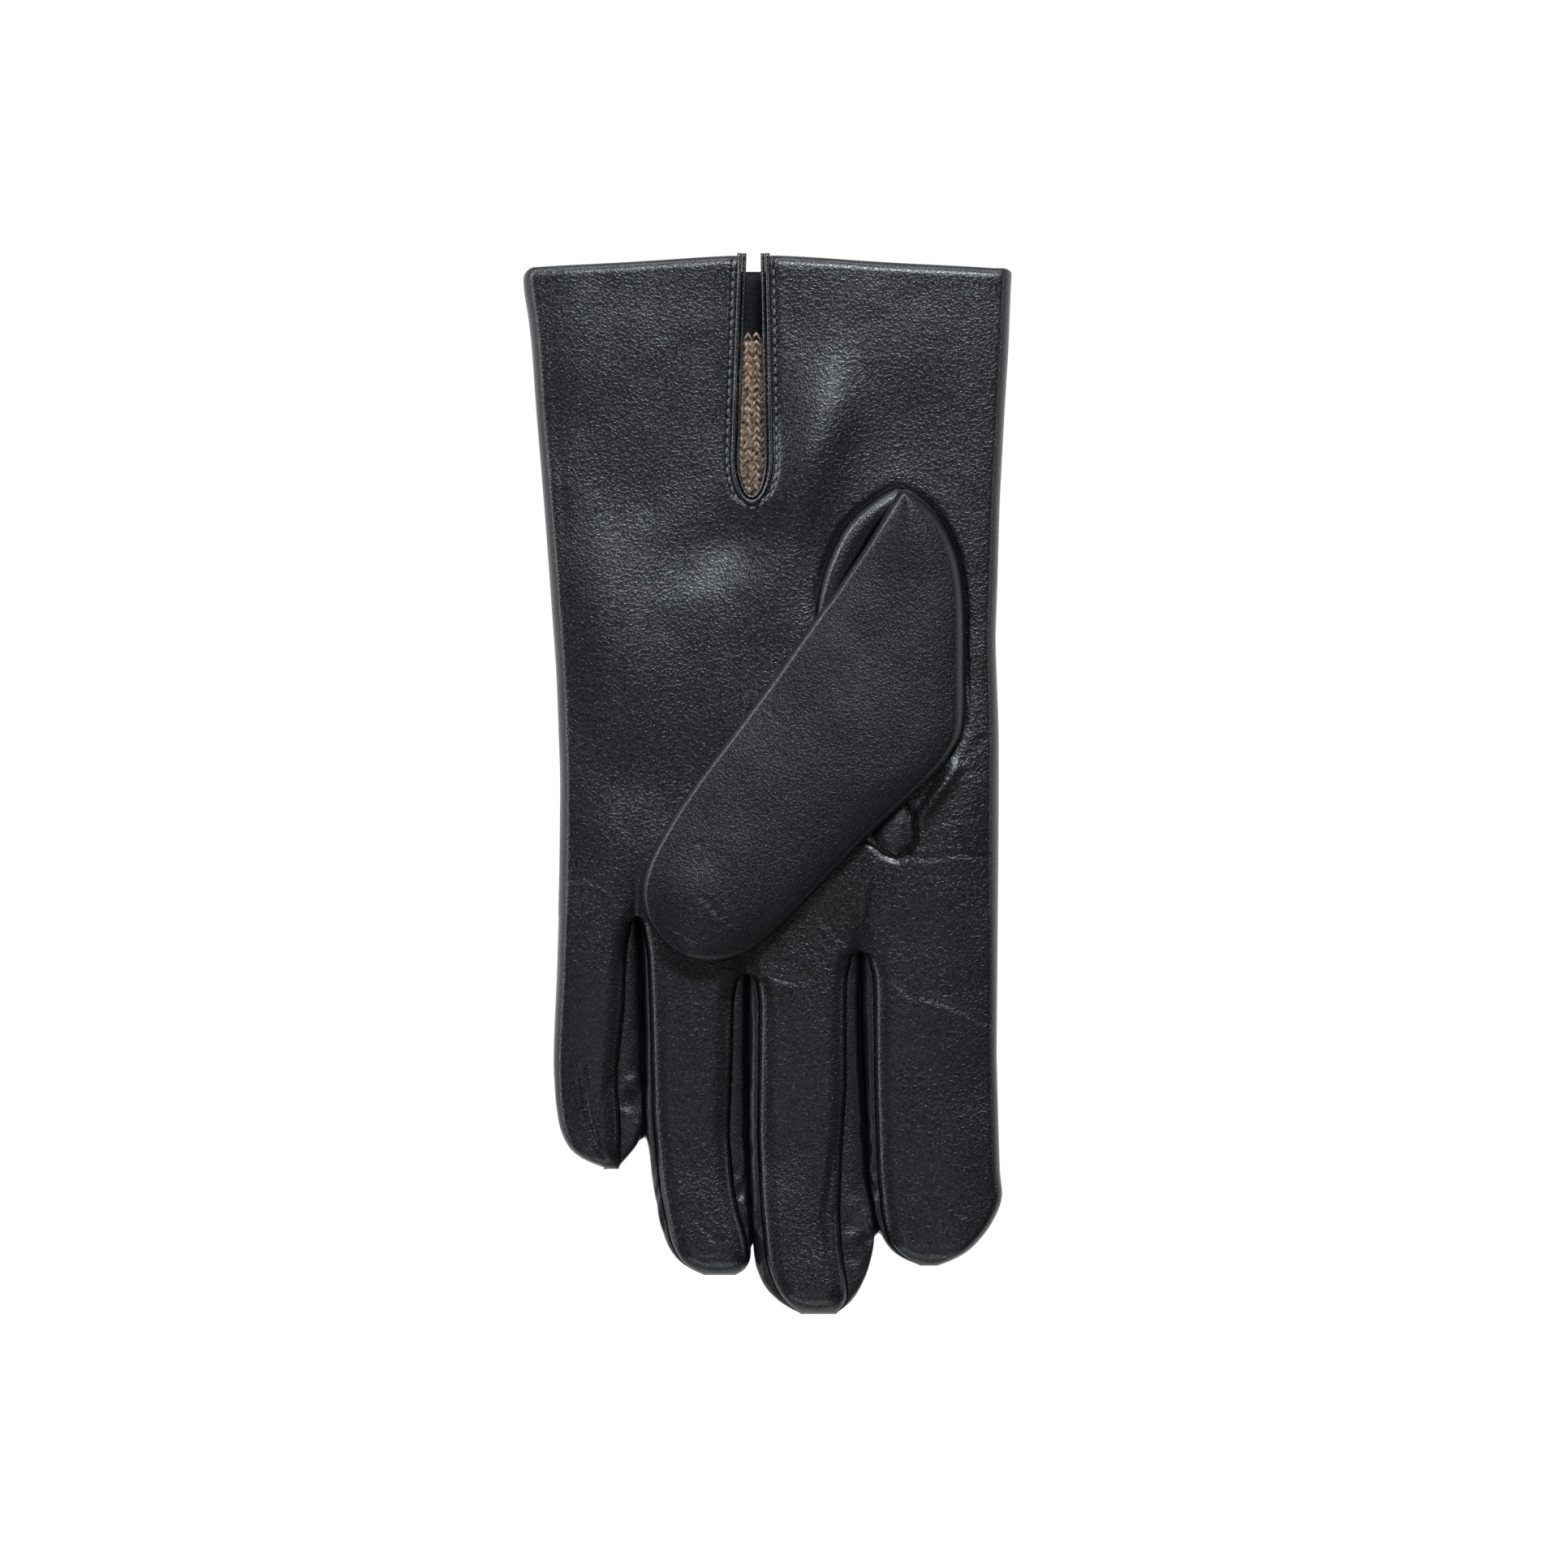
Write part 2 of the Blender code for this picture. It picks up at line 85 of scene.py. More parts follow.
def curve(points, soft=2.5):
    """A smoothed function x(y) through (y, x) points."""
    ys, xs = np.array(sorted(points), float).T
    step = 0.5
    pad = 12.0
    fine = np.arange(ys[0] - pad, ys[-1] + pad, step)
    first = (xs[1] - xs[0]) / (ys[1] - ys[0])
    last = (xs[-1] - xs[-2]) / (ys[-1] - ys[-2])
    value = np.interp(fine, ys, xs)
    value = np.where(fine < ys[0], xs[0] + first * (fine - ys[0]), value)
    value = np.where(fine > ys[-1], xs[-1] + last * (fine - ys[-1]), value)
    smooth = blur(value, soft / step, int(3 * soft / step))
    return lambda y: np.interp(y, fine, smooth)


def path(points, count, soft=0.0):
    """Points spaced evenly along a polyline of (x, y), softened at its corners."""
    fine_count = 800
    line = np.array(points, float).T
    length = run_length(*line)
    fine = np.linspace(0.0, length[-1], fine_count)
    line = [np.interp(fine, length, column) for column in line]
    if soft:
        width = max(1, int(soft / length[-1] * fine_count))
        line = [blur(column, width, 3 * width) for column in line]
    length = run_length(*line)
    at = np.linspace(0.0, length[-1], count)
    return np.column_stack([np.interp(at, length, column) for column in line])


def noise(x, y, size, seed):
    """Smooth noise from -1 to 1 on a lattice of the given size."""
    cells = 64
    table = np.random.default_rng(seed).uniform(-1.0, 1.0, (cells, cells))
    u, v = (np.asarray(value) / size + 500.0 for value in (x, y))
    i, j = np.floor(u).astype(int), np.floor(v).astype(int)
    a, b = smoothstep(u - i), smoothstep(v - j)

    def row(k):
        return table[i % cells, k % cells] * (1 - a) + table[(i + 1) % cells, k % cells] * a

    return row(j) * (1 - b) + row(j + 1) * b


def groove(x, y, points, width, depth, ridge=0.2):
    """Height change of a crease along a polyline: a groove that fades at both ends, with a low ridge beside it."""
    pts = np.array(points, float)
    total = np.hypot(*np.diff(pts, axis=0).T).sum()
    best = np.full(np.shape(x), 1e9)
    place = np.zeros(np.shape(x))
    run = 0.0
    for p, q in zip(pts, pts[1:]):
        d = q - p
        size = math.hypot(*d)
        t = np.clip(((x - p[0]) * d[0] + (y - p[1]) * d[1]) / size**2, 0.0, 1.0)
        gap = np.hypot(x - p[0] - t * d[0], y - p[1] - t * d[1])
        near = gap < best
        best = np.where(near, gap, best)
        place = np.where(near, (run + t * size) / total, place)
        run += size
    fade = np.sin(np.pi * np.clip(place, 0.0, 1.0)) ** 0.6
    inner = np.exp(-((best / width) ** 2))
    outer = np.exp(-(((best - 2.0 * width) / (1.2 * width)) ** 2))
    return fade * depth * (-inner + ridge * outer)


def hill(x, y, cx, cy, rx, ry, height, turn=0.0):
    """A soft oval hill, or a hollow when height is negative; turn is in degrees."""
    a = math.radians(turn)
    u = (x - cx) * math.cos(a) + (y - cy) * math.sin(a)
    v = -(x - cx) * math.sin(a) + (y - cy) * math.cos(a)
    return height * np.exp(-((u / rx) ** 2) - (v / ry) ** 2)


# ---------------------------------------------------------------- outlines, as (y, x)
edge_left = curve(
    ((125.0, -57.9), (119.0, -57.7), (112.0, -56.6), (104.3, -55.8), (89.0, -54.8), (60.4, -52.5),
        (26.0, -50.0), (1.1, -49.1), (-18.0, -49.3), (-44.7, -49.9), (-65.1, -50.7))
)
edge_right = curve(
    ((125.0, 57.4), (121.0, 57.1), (104.3, 56.5), (89.0, 55.6), (66.1, 54.4), (47.4, 53.9), (34.0, 53.4),
        (12.6, 54.2), (-6.5, 54.2), (-63.8, 53.7), (-82.9, 54.2))
)

# the ends of the gaps between the fingers, as (x, y)
CROTCHES = LITTLE_RING, RING_MIDDLE, MIDDLE_INDEX = (-31.0, -31.5), (-5.3, -44.7), (21.5, -39.3)
# left and right are the sewn edges of a finger's front leather, or its fold where no finger is beside it;
# out_left and out_right are how far its side strips stand out; knuckle is where the leather bends, from y to y
FINGERS = {
    "little": dict(
        left=((-31.0, -49.5), (-44.7, -49.9), (-60.0, -50.6), (-67.0, -50.7), (-75.1, -50.2), (-81.0, -49.3),
            (-85.5, -47.4), (-88.2, -44.6), (-90.0, -40.5), (-90.7, -38.0)),
        right=((-31.0, -31.6), (-34.0, -32.6), (-38.8, -33.6), (-52.7, -34.1), (-62.5, -35.2), (-70.3, -35.9),
            (-80.4, -35.0), (-87.0, -35.0), (-90.7, -35.6)),
        out_left=None,
        out_right=((-31.5, -31.2), (-38.0, -30.7), (-60.0, -30.3), (-75.0, -29.8), (-81.6, -29.5),
            (-84.6, -30.6), (-86.9, -32.4), (-89.0, -34.4), (-90.7, -35.6)),
        tip=-90.7, knuckle=(-32.5, -41.0), thick=9.6, crotch_left=None, crotch_right=LITTLE_RING,
    ),
    "ring": dict(
        left=((-31.0, -30.4), (-35.0, -29.2), (-40.0, -28.3), (-54.2, -27.7), (-79.1, -27.1), (-94.9, -25.6),
            (-105.6, -23.5), (-109.4, -22.3), (-112.7, -20.4), (-114.8, -17.6), (-115.7, -15.0)),
        right=((-46.0, -7.0), (-49.0, -8.3), (-54.2, -8.5), (-63.8, -8.7), (-82.9, -9.4), (-94.9, -8.4),
            (-100.7, -7.3), (-106.6, -5.4), (-112.3, -4.7), (-114.6, -5.4), (-115.7, -8.0)),
        out_left=((-31.5, -30.8), (-35.0, -30.0), (-54.2, -29.3), (-81.6, -29.1), (-94.9, -27.2),
            (-103.7, -25.7), (-109.2, -23.7), (-112.7, -21.2), (-115.0, -17.6), (-115.7, -15.0)),
        out_right=((-44.7, -5.4), (-60.0, -5.7), (-83.0, -5.8), (-98.0, -4.9), (-108.0, -4.2), (-112.0, -4.1),
            (-114.6, -5.4), (-115.7, -8.0)),
        tip=-115.7, knuckle=(-43.8, -52.0), thick=9.6, crotch_left=LITTLE_RING, crotch_right=RING_MIDDLE,
    ),
    "middle": dict(
        left=((-46.0, -3.4), (-48.0, -2.4), (-52.3, -2.1), (-82.9, -2.5), (-98.2, -1.8), (-110.8, -0.7),
            (-115.5, 0.4), (-119.2, 2.1), (-122.4, 4.4), (-124.9, 8.0)),
        right=((-41.0, 19.6), (-44.0, 18.4), (-50.0, 18.1), (-71.4, 18.1), (-86.1, 17.1), (-100.7, 16.6),
            (-109.8, 17.0), (-116.0, 18.0), (-119.5, 18.6), (-122.6, 18.0), (-124.9, 15.5)),
        out_left=((-44.7, -5.2), (-60.0, -4.9), (-83.0, -4.9), (-98.0, -4.2), (-110.0, -3.6), (-113.8, -3.1),
            (-118.3, -1.2), (-121.9, 2.0), (-123.8, 5.0), (-124.9, 8.0)),
        out_right=((-39.3, 21.4), (-54.0, 21.0), (-71.4, 21.5), (-93.4, 22.8), (-101.0, 24.6), (-105.4, 25.1),
            (-110.0, 24.6), (-115.3, 23.2), (-120.3, 20.8), (-123.0, 18.6), (-124.9, 15.5)),
        tip=-124.9, knuckle=(-43.8, -52.0), thick=10.0, crotch_left=RING_MIDDLE, crotch_right=MIDDLE_INDEX,
    ),
    "index": dict(
        left=((-41.0, 23.4), (-44.7, 24.7), (-50.0, 24.9), (-71.4, 25.1), (-91.9, 25.8), (-100.0, 26.6),
            (-105.1, 27.4), (-108.0, 28.6), (-110.6, 30.6), (-112.4, 33.0), (-113.5, 36.0)),
        right=((-31.0, 54.0), (-63.8, 53.7), (-82.9, 54.2), (-92.0, 54.5), (-96.0, 55.1), (-98.0, 55.0),
            (-101.0, 53.9), (-104.9, 51.8), (-109.4, 48.0), (-111.6, 45.0), (-112.9, 42.0), (-113.5, 40.0)),
        out_left=((-39.3, 21.6), (-54.2, 22.0), (-71.4, 22.7), (-93.4, 23.6), (-101.0, 24.9), (-105.2, 26.0),
            (-108.7, 27.7), (-111.2, 30.1), (-112.6, 32.6), (-113.5, 36.0)),
        out_right=None,
        tip=-113.5, knuckle=(-43.8, -52.0), thick=9.6, crotch_left=MIDDLE_INDEX, crotch_right=None,
    ),
}
for spec in FINGERS.values():
    for side in ("left", "right"):
        spec[side] = curve(spec[side], 1.2)
        if spec["out_" + side]:
            spec["out_" + side] = curve(spec["out_" + side], 1.2)


def seam_x(spec, side, y):
    """x of a finger panel's sewn edge; above the crotch it is the line shared with the next finger."""
    crotch = spec["crotch_" + side]
    if crotch is None:
        return spec[side](y)
    xp, yc = crotch
    far = spec[side](np.minimum(y, yc - 3.0))
    t = np.clip((yc - y) / 3.2, 0.0, 1.0)
    return xp + (spec[side](y) * (t >= 1.0) + far * (t < 1.0) - xp) * np.sqrt(1.0 - (1.0 - t) ** 2)


NEIGHBOURS = (("little", "ring"), ("ring", "middle"), ("middle", "index"))


def back_seam(name, side, y):
    """x of the lower sewn edge: beside a neighbour it lies under the gap, so that no light comes through."""
    spec = FINGERS[name]
    for a, b in NEIGHBOURS:
        if (name, side) in ((a, "right"), (b, "left")):
            out_a, out_b = FINGERS[a]["out_right"](y), FINGERS[b]["out_left"](y)
            middle = (out_a + out_b) / 2.0
            low = max(FINGERS[a]["tip"], FINGERS[b]["tip"]) + 9.0
            t = np.maximum(smoothstep((low - y) / 5.0), smoothstep((out_b - out_a - 0.9) / 1.5))
            if name == a:
                return (middle + 0.6) * (1 - t) + (out_a - 0.8) * t
            return (middle - 0.35) * (1 - t) + (out_b + 0.8) * t
    return spec[side](y)


def valley(beside, above):
    """Depth of the dip at a crotch, at a distance beside its line and above its end."""
    return 1.5 * np.exp(-np.maximum(above, 0.0) / 7.0) * (1.0 - np.clip(beside / 4.5, 0.0, 1.0)) ** 2


def root_drop(x, y):
    """The soft valleys that run from each crotch up into the palm."""
    total = np.zeros(np.shape(x))
    for xp, yc in CROTCHES:
        total = total + valley(np.abs(x - xp), y - yc)
    return total


# creases, each as its line of points, width and depth
PALM_CREASES = (
    (((24.0, -31.0), (29.0, -35.0), (34.0, -38.0)), 0.7, 0.25),
    (((29.0, -46.5), (34.0, -49.5), (40.0, -51.0), (46.0, -53.5), (53.5, -57.5)), 0.8, 0.5),
    (((29.0, -46.5), (36.0, -48.5), (43.0, -49.0), (52.0, -48.0)), 0.6, 0.22),
    (((26.0, -44.0), (31.0, -48.0), (37.0, -54.0)), 0.6, 0.25),
    (((-5.3, -44.0), (0.0, -45.0), (6.0, -46.5), (13.0, -45.5)), 0.8, 0.45),
    (((-4.0, -43.0), (3.0, -41.5), (10.0, -42.5)), 0.6, 0.2),
    (((19.0, -38.0), (14.0, -33.0), (9.0, -29.0)), 0.7, 0.25),
    (((22.0, -36.0), (22.5, -29.0), (24.0, -22.0)), 0.9, 0.25),
    (((-49.0, -23.0), (-43.0, -22.0), (-38.0, -24.0), (-34.0, -28.0)), 0.8, 0.3),
    (((-46.0, -18.0), (-40.0, -17.0), (-34.0, -20.0)), 0.6, 0.15),
    (((-34.5, -23.0), (-33.0, -27.0), (-31.5, -30.5)), 0.9, 0.3),
    (((45.0, 9.0), (40.0, 3.0), (36.0, -3.0), (33.0, -8.0)), 1.0, 0.5),
    (((47.0, 8.0), (50.0, 10.5), (54.0, 11.5)), 0.7, 0.4),
    (((45.0, 5.0), (49.0, 8.5), (54.0, 9.0)), 0.6, 0.25),
    (((31.0, -17.0), (38.0, -17.5), (45.0, -16.5), (54.0, -17.5)), 0.7, 0.45),
    (((33.0, -16.0), (40.0, -14.0), (48.0, -13.5)), 0.5, 0.2),
    (((35.0, -12.0), (41.0, -9.0), (47.0, -8.0), (52.0, -8.5)), 0.6, 0.25),
    (((32.0, -19.0), (36.0, -21.0), (42.0, -21.5)), 0.5, 0.25),
    (((29.0, -17.5), (25.0, -22.0), (19.0, -27.0)), 0.6, 0.25),
    (((38.0, -1.0), (43.0, 2.0), (49.0, 3.0), (54.0, 2.0)), 0.8, 0.2),
)
FINGER_CREASES = {
    "little": (
        (((-43.9, -66.0), (-43.6, -72.0), (-42.8, -78.0), (-41.0, -83.5), (-38.4, -88.6)), 1.0, 1.0),
        (((-41.5, -70.0), (-41.0, -76.0), (-39.0, -82.0)), 0.6, 0.3),
        (((-36.2, -68.0), (-38.0, -71.0), (-38.5, -75.0)), 0.7, 0.4),
        (((-48.0, -83.0), (-45.5, -86.0), (-42.0, -88.8)), 0.7, 0.3),
    ),
    "ring": (
        (((-17.6, -101.6), (-14.5, -105.5), (-11.0, -109.0), (-8.4, -110.6)), 0.6, 0.35),
        (((-19.0, -104.0), (-16.0, -108.0), (-12.0, -111.0)), 0.5, 0.18),
        (((-11.5, -48.0), (-10.0, -53.0), (-9.5, -60.0)), 0.8, 0.2),
    ),
    "middle": (
        (((15.2, -84.0), (14.6, -92.0), (13.6, -100.0), (13.8, -108.0), (15.5, -115.0)), 1.1, 0.8),
        (((13.0, -91.0), (12.6, -98.0), (12.8, -105.0)), 0.8, 0.3),
        (((4.0, -60.0), (8.0, -62.0), (13.0, -61.0)), 0.6, 0.12),
    ),
    "index": (
        (((41.0, -88.0), (45.0, -89.5), (51.5, -88.5)), 0.5, 0.3),
        (((43.0, -92.5), (47.0, -93.5), (52.0, -92.5)), 0.5, 0.3),
        (((42.6, -99.7), (45.5, -101.5), (49.0, -102.6)), 0.6, 0.35),
        (((33.0, -109.6), (38.0, -107.0), (44.5, -104.3)), 0.7, 0.35),
        (((36.0, -96.0), (40.0, -97.5), (44.0, -96.5)), 0.6, 0.2),
        (((45.0, -75.0), (49.0, -76.0), (53.0, -75.0)), 0.5, 0.15),
    ),
}

QUIRK_SEAM = ((22.0, -13.0), (24.8, -14.6), (27.4, -16.6), (30.2, -17.6), (32.8, -16.4), (34.2, -13.6),
    (34.2, -10.0), (33.4, -6.5), (32.0, -3.0))
THUMB_SEAM = ((31.5, 69.7), (36.1, 67.6), (39.3, 64.5), (42.5, 59.1), (44.7, 53.1), (45.8, 46.0), (46.2, 37.8),
    (46.2, 24.6), (46.1, 15.2), (45.3, 10.8), (42.4, 6.1))
BASE_SEAM = ((33.0, 69.4), (30.0, 69.9), (27.4, 68.8), (24.5, 66.9), (20.8, 64.0), (17.6, 60.5), (15.1, 55.7),
    (13.1, 50.7), (11.7, 45.5), (11.0, 41.0), (10.7, 37.0))


# centre x, centre y, half sizes, height and turn of the palm's soft hills and hollows
PALM_HILLS = (
    (9.0, 76.0, 8.0, 25.0, 2.2, -20.0),
    (-9.0, 56.0, 15.0, 8.0, -1.3, 20.0),
    (-36.0, 34.0, 12.0, 16.0, 1.2, 20.0),
    (-12.0, 90.0, 4.0, 22.0, -0.35),
    (46.0, -8.0, 8.0, 18.0, 0.8),
    (33.0, -30.0, 12.0, 9.0, 0.5),
)


def ridge(x, y, start, end, width, height):
    """A straight soft ridge that fades at both ends."""
    d = (end[0] - start[0], end[1] - start[1])
    size = math.hypot(*d)
    along = ((x - start[0]) * d[0] + (y - start[1]) * d[1]) / size**2
    across = ((x - start[0]) * d[1] - (y - start[1]) * d[0]) / size
    fade = np.sin(np.pi * np.clip(along, 0.0, 1.0)) ** 0.5
    return height * fade * np.exp(-((across / width) ** 2))


def side_fall(x, y, reach, depth):
    """How far the leather sinks as it nears the two outer folds of the hand."""
    row = np.maximum(y, JOIN_Y)
    near = np.minimum(x - edge_left(row), edge_right(row) - x)
    return depth * (1.0 - np.clip(near / reach, 0.0, 1.0)) ** 2


def front_relief(x, y):
    """Slow swells, creases and fine unevenness of the palm-side leather."""
    calm = 1.0 - 0.55 * smoothstep((y - 75.0) / 30.0)
    z = 0.9 * noise(x, y, 42.0, 3) * calm + 0.42 * noise(x, y, 17.0, 5) * calm + 0.06 * noise(x, y, 6.0, 8)
    for spot in PALM_HILLS:
        z = z + hill(x, y, *spot)
    z = z - side_fall(x, y, 13.0, 1.1)
    for points, width, depth in PALM_CREASES:
        z = z + groove(x, y, points, 0.7 * width, 0.55 * depth)
    for seam in (THUMB_SEAM, BASE_SEAM):
        z = z + groove(x, y, seam, 0.5, 1.1, 0.0)
    z = z + ridge(x, y, (34.5, -9.5), (45.0, 5.0), 1.3, 0.9)
    z = z + groove(x, y, QUIRK_SEAM, 0.5, 1.0, 0.0)
    return z


def back_swell(x, y):
    """How far the back leather lifts off the table in its slow unevenness."""
    return np.clip(0.30 + 0.36 * noise(x, y, 27.0, 52), 0.0, 0.8) + side_fall(x, y, 13.0, 0.9)


def palm_height(x, y):
    """Height of the palm leather."""
    return SKIN - root_drop(x, y) + front_relief(x, y)


# ---------------------------------------------------------------- mesh helpers
UV_MM = 10.0  # one UV unit, in millimetres


def mesh_from(name, verts, faces, uvs, material):
    """A mesh from millimetre points, with its plan coordinates as UVs."""
    mesh = bpy.data.meshes.new(name)
    mesh.from_pydata((np.asarray(verts, float) / 1000.0).tolist(), [], [list(f) for f in faces])
    layer = mesh.uv_layers.new(name="plan")
    index = np.zeros(len(mesh.loops), np.int32)
    mesh.loops.foreach_get("vertex_index", index)
    layer.data.foreach_set("uv", np.asarray(uvs, np.float32)[index].ravel())
    mesh.shade_smooth()
    mesh.materials.append(material)
    ob = bpy.data.objects.new(name, mesh)
    bpy.context.scene.collection.objects.link(ob)
    return ob


def grid_faces(rows, cols, flip=False, closed=False, start=0):
    """Quads of a grid of points; closed joins the last column to the first."""
    i, j = np.meshgrid(np.arange(rows - 1), np.arange(cols if closed else cols - 1), indexing="ij")
    k = (j + 1) % cols
    a, b, c, d = i * cols + j, (i + 1) * cols + j, (i + 1) * cols + k, i * cols + k
    quads = np.stack((a, b, c, d), -1).reshape(-1, 4) + start
    return quads[:, ::-1] if flip else quads


def unrolled(x, y, z, left, right):
    """Plan coordinates whose outer columns are laid out flat, so the grain is not stretched down the sides."""
    u = x.copy()
    for i in range(left - 1, -1, -1):
        u[:, i] = u[:, i + 1] - np.hypot(x[:, i + 1] - x[:, i], z[:, i + 1] - z[:, i])
    last = x.shape[1] - 1
    for i in range(last - right + 1, last + 1):
        u[:, i] = u[:, i - 1] + np.hypot(x[:, i] - x[:, i - 1], z[:, i] - z[:, i - 1])
    return u, y


def grid_object(name, x, y, z, material, flip=False, closed=False, uv=None, drop=None):
    """A mesh from a grid of points; drop(x, y, z) says at which face middles there is no leather."""
    verts = flat_list(x, y, z)
    faces = grid_faces(*x.shape, flip, closed)
    if drop:
        faces = faces[~drop(*verts[faces].mean(1).T)]
    plan = verts[:, :2] if uv is None else flat_list(*uv)
    return mesh_from(name, verts, faces, plan / UV_MM, material)


def flat_list(*grids):
    """Grids of coordinates as one list of points."""
    return np.stack(grids, -1).reshape(-1, len(grids))


def arrays(*lists):
    return [np.array(values) for values in lists]


def in_thumb_hole(x, y):
    """Below 1 inside the opening into the thumb, 1 on its edge."""
    cx, cy, rx, ry = THUMB_HOLE
    return np.hypot((x - cx) / rx, (y - cy) / ry)


def join(objects, name):
    """Joins meshes into the first one."""
    chosen = dict(active_object=objects[0], selected_editable_objects=objects, selected_objects=objects)
    with bpy.context.temp_override(**chosen):
        bpy.ops.object.join()
    objects[0].name = name
    objects[0].data.name = name
    return objects[0]


def tube_points(points, radius, sides, squash=1.0):
    """Rings of points round a 3-D line; squash scales their height."""
    direction = np.gradient(points, axis=0)
    direction /= np.linalg.norm(direction, axis=1)[:, None]
    side = np.cross(direction, (0.0, 0.0, 1.0))
    side /= np.linalg.norm(side, axis=1)[:, None]
    up = np.cross(side, direction)
    angle = (np.arange(sides) * 2.0 * np.pi / sides)[None, :, None]
    ring = side[:, None] * np.cos(angle) + squash * up[:, None] * np.sin(angle)
    radius = np.broadcast_to(radius, (len(points),))
    return (points[:, None] + ring * radius[:, None, None]).reshape(-1, 3)


def tube(name, points, radius, material, sides=8, squash=1.0):
    """A round cord along 3-D points, closed at both ends."""
    count = len(points)
    verts = tube_points(points, radius, sides, squash)
    faces = [tuple(f) for f in grid_faces(count, sides, closed=True)]
    faces.append(tuple(range(sides)))
    faces.append(tuple(range(count * sides - 1, (count - 1) * sides - 1, -1)))
    return mesh_from(name, verts, faces, verts[:, :2] / UV_MM, material)


# ---------------------------------------------------------------- materials
def material_tree(name):
    """A new material, its node tree and its shader."""
    mat = bpy.data.materials.new(name)
    mat.use_nodes = True
    return mat, mat.node_tree, mat.node_tree.nodes["Principled BSDF"]


def node(tree, kind, values=None, links=None, **settings):
    """A shader node with its socket values, the outputs that feed its sockets, and its own settings."""
    made = tree.nodes.new("ShaderNode" + kind)
    for key, value in settings.items():
        setattr(made, key, value)
    for key, value in (values or {}).items():
        made.inputs[key].default_value = value
    for key, output in (links or {}).items():
        tree.links.new(output, made.inputs[key])
    return made


def noise_node(tree, where, scale, detail, distortion=0.0):
    values = {"Scale": scale, "Detail": detail, "Distortion": distortion}
    return node(tree, "TexNoise", values, {"Vector": where})


def ramp_node(tree, value, low, low_colour, high, high_colour):
    ramp = node(tree, "ValToRGB", links={"Fac": value})
    first, last = ramp.color_ramp.elements
    first.position, last.position = low, high
    first.color, last.color = (*low_colour, 1), (*high_colour, 1)
    return ramp.outputs["Color"]


def bump_node(tree, height, strength, distance):
    bump = node(tree, "Bump", {"Strength": strength, "Distance": distance}, {"Height": height})
    return bump.outputs["Normal"]


def leather_material(name, grain=1.0, shine=0.36, tone=1.0, gloss=1.0, cell=0.74):
    """Near-black nappa: a pebbled grain of small domed cells, faint mottling, and a satin finish."""
    mat, tree, shader = material_tree(name)
    link = tree.links.new
    uv = node(tree, "UVMap", uv_map="plan").outputs["UV"]
    # the grain: soft cells about cell millimetres wide, their rows a little bent
    warp = noise_node(tree, uv, 7.0, 2.0).outputs["Color"]
    bent = node(tree, "MixRGB", {"Fac": 0.045}, {"Color1": uv, "Color2": warp}, blend_type="LINEAR_LIGHT")
    cells = noise_node(tree, bent.outputs["Color"], 10.0 / cell, 1.0, 0.5).outputs["Fac"]
    limits = {"From Min": 0.36, "From Max": 0.62}
    pebble = node(tree, "MapRange", limits, {"Value": cells}, interpolation_type="SMOOTHSTEP").outputs["Result"]
    swell = noise_node(tree, uv, 3.0, 4.0).outputs["Fac"]
    total = node(tree, "Math", links={0: swell, 1: pebble}, operation="ADD")
    link(bump_node(tree, total.outputs["Value"], 1.0, 0.000050 * grain), shader.inputs["Normal"])
    # the colour: near black and mottled, with painted shade darkening it between the cells
    patch = noise_node(tree, uv, 0.55, 5.0).outputs["Fac"]
    dark = [value * tone for value in (0.0026, 0.0034, 0.0050)]
    pale = [value * tone for value in (0.0050, 0.0062, 0.0084)]
    colour = ramp_node(tree, patch, 0.3, dark, 0.75, pale)
    # painted shade: the colour is halved in the hollows between the grain cells
    between = node(tree, "MixRGB", {"Fac": 0.5}, {"Color1": colour, "Color2": pebble}, blend_type="MULTIPLY")
    link(between.outputs["Color"], shader.inputs["Base Color"])
    # the finish: smoother on top of the cells and in the worn patches
    rough = node(tree, "MapRange", {"To Min": shine + 0.07, "To Max": shine - 0.03}, {"Value": pebble})
    links = {0: patch, 2: rough.outputs["Result"]}
    worn = node(tree, "Math", {1: -0.08}, links, operation="MULTIPLY_ADD")
    link(worn.outputs["Value"], shader.inputs["Roughness"])
    shader.inputs["Specular IOR Level"].default_value = 0.55 * gloss
    return mat


def thread_material():
    """Waxed black thread, a little paler than the leather."""
    mat, _, shader = material_tree("black_thread")
    shader.inputs["Base Color"].default_value = (0.055, 0.060, 0.068, 1)
    shader.inputs["Roughness"].default_value = 0.38
    shader.inputs["Sheen Weight"].default_value = 0.3
    return mat


def knit_material():
    """Taupe wool: every strand mottled lighter and darker, with fuzz."""
    mat, tree, shader = material_tree("taupe_knit")
    uv = node(tree, "UVMap", uv_map="plan").outputs["UV"]
    speck = noise_node(tree, uv, 9.0, 6.0).outputs["Fac"]
    colour = ramp_node(tree, speck, 0.40, (0.085, 0.050, 0.032), 0.62, (0.72, 0.50, 0.34))
    tree.links.new(colour, shader.inputs["Base Color"])
    fibre = noise_node(tree, uv, 60.0, 3.0).outputs["Fac"]
    tree.links.new(bump_node(tree, fibre, 0.6, 0.0002), shader.inputs["Normal"])
    shader.inputs["Roughness"].default_value = 0.95
    shader.inputs["Sheen Weight"].default_value = 0.4
    return mat


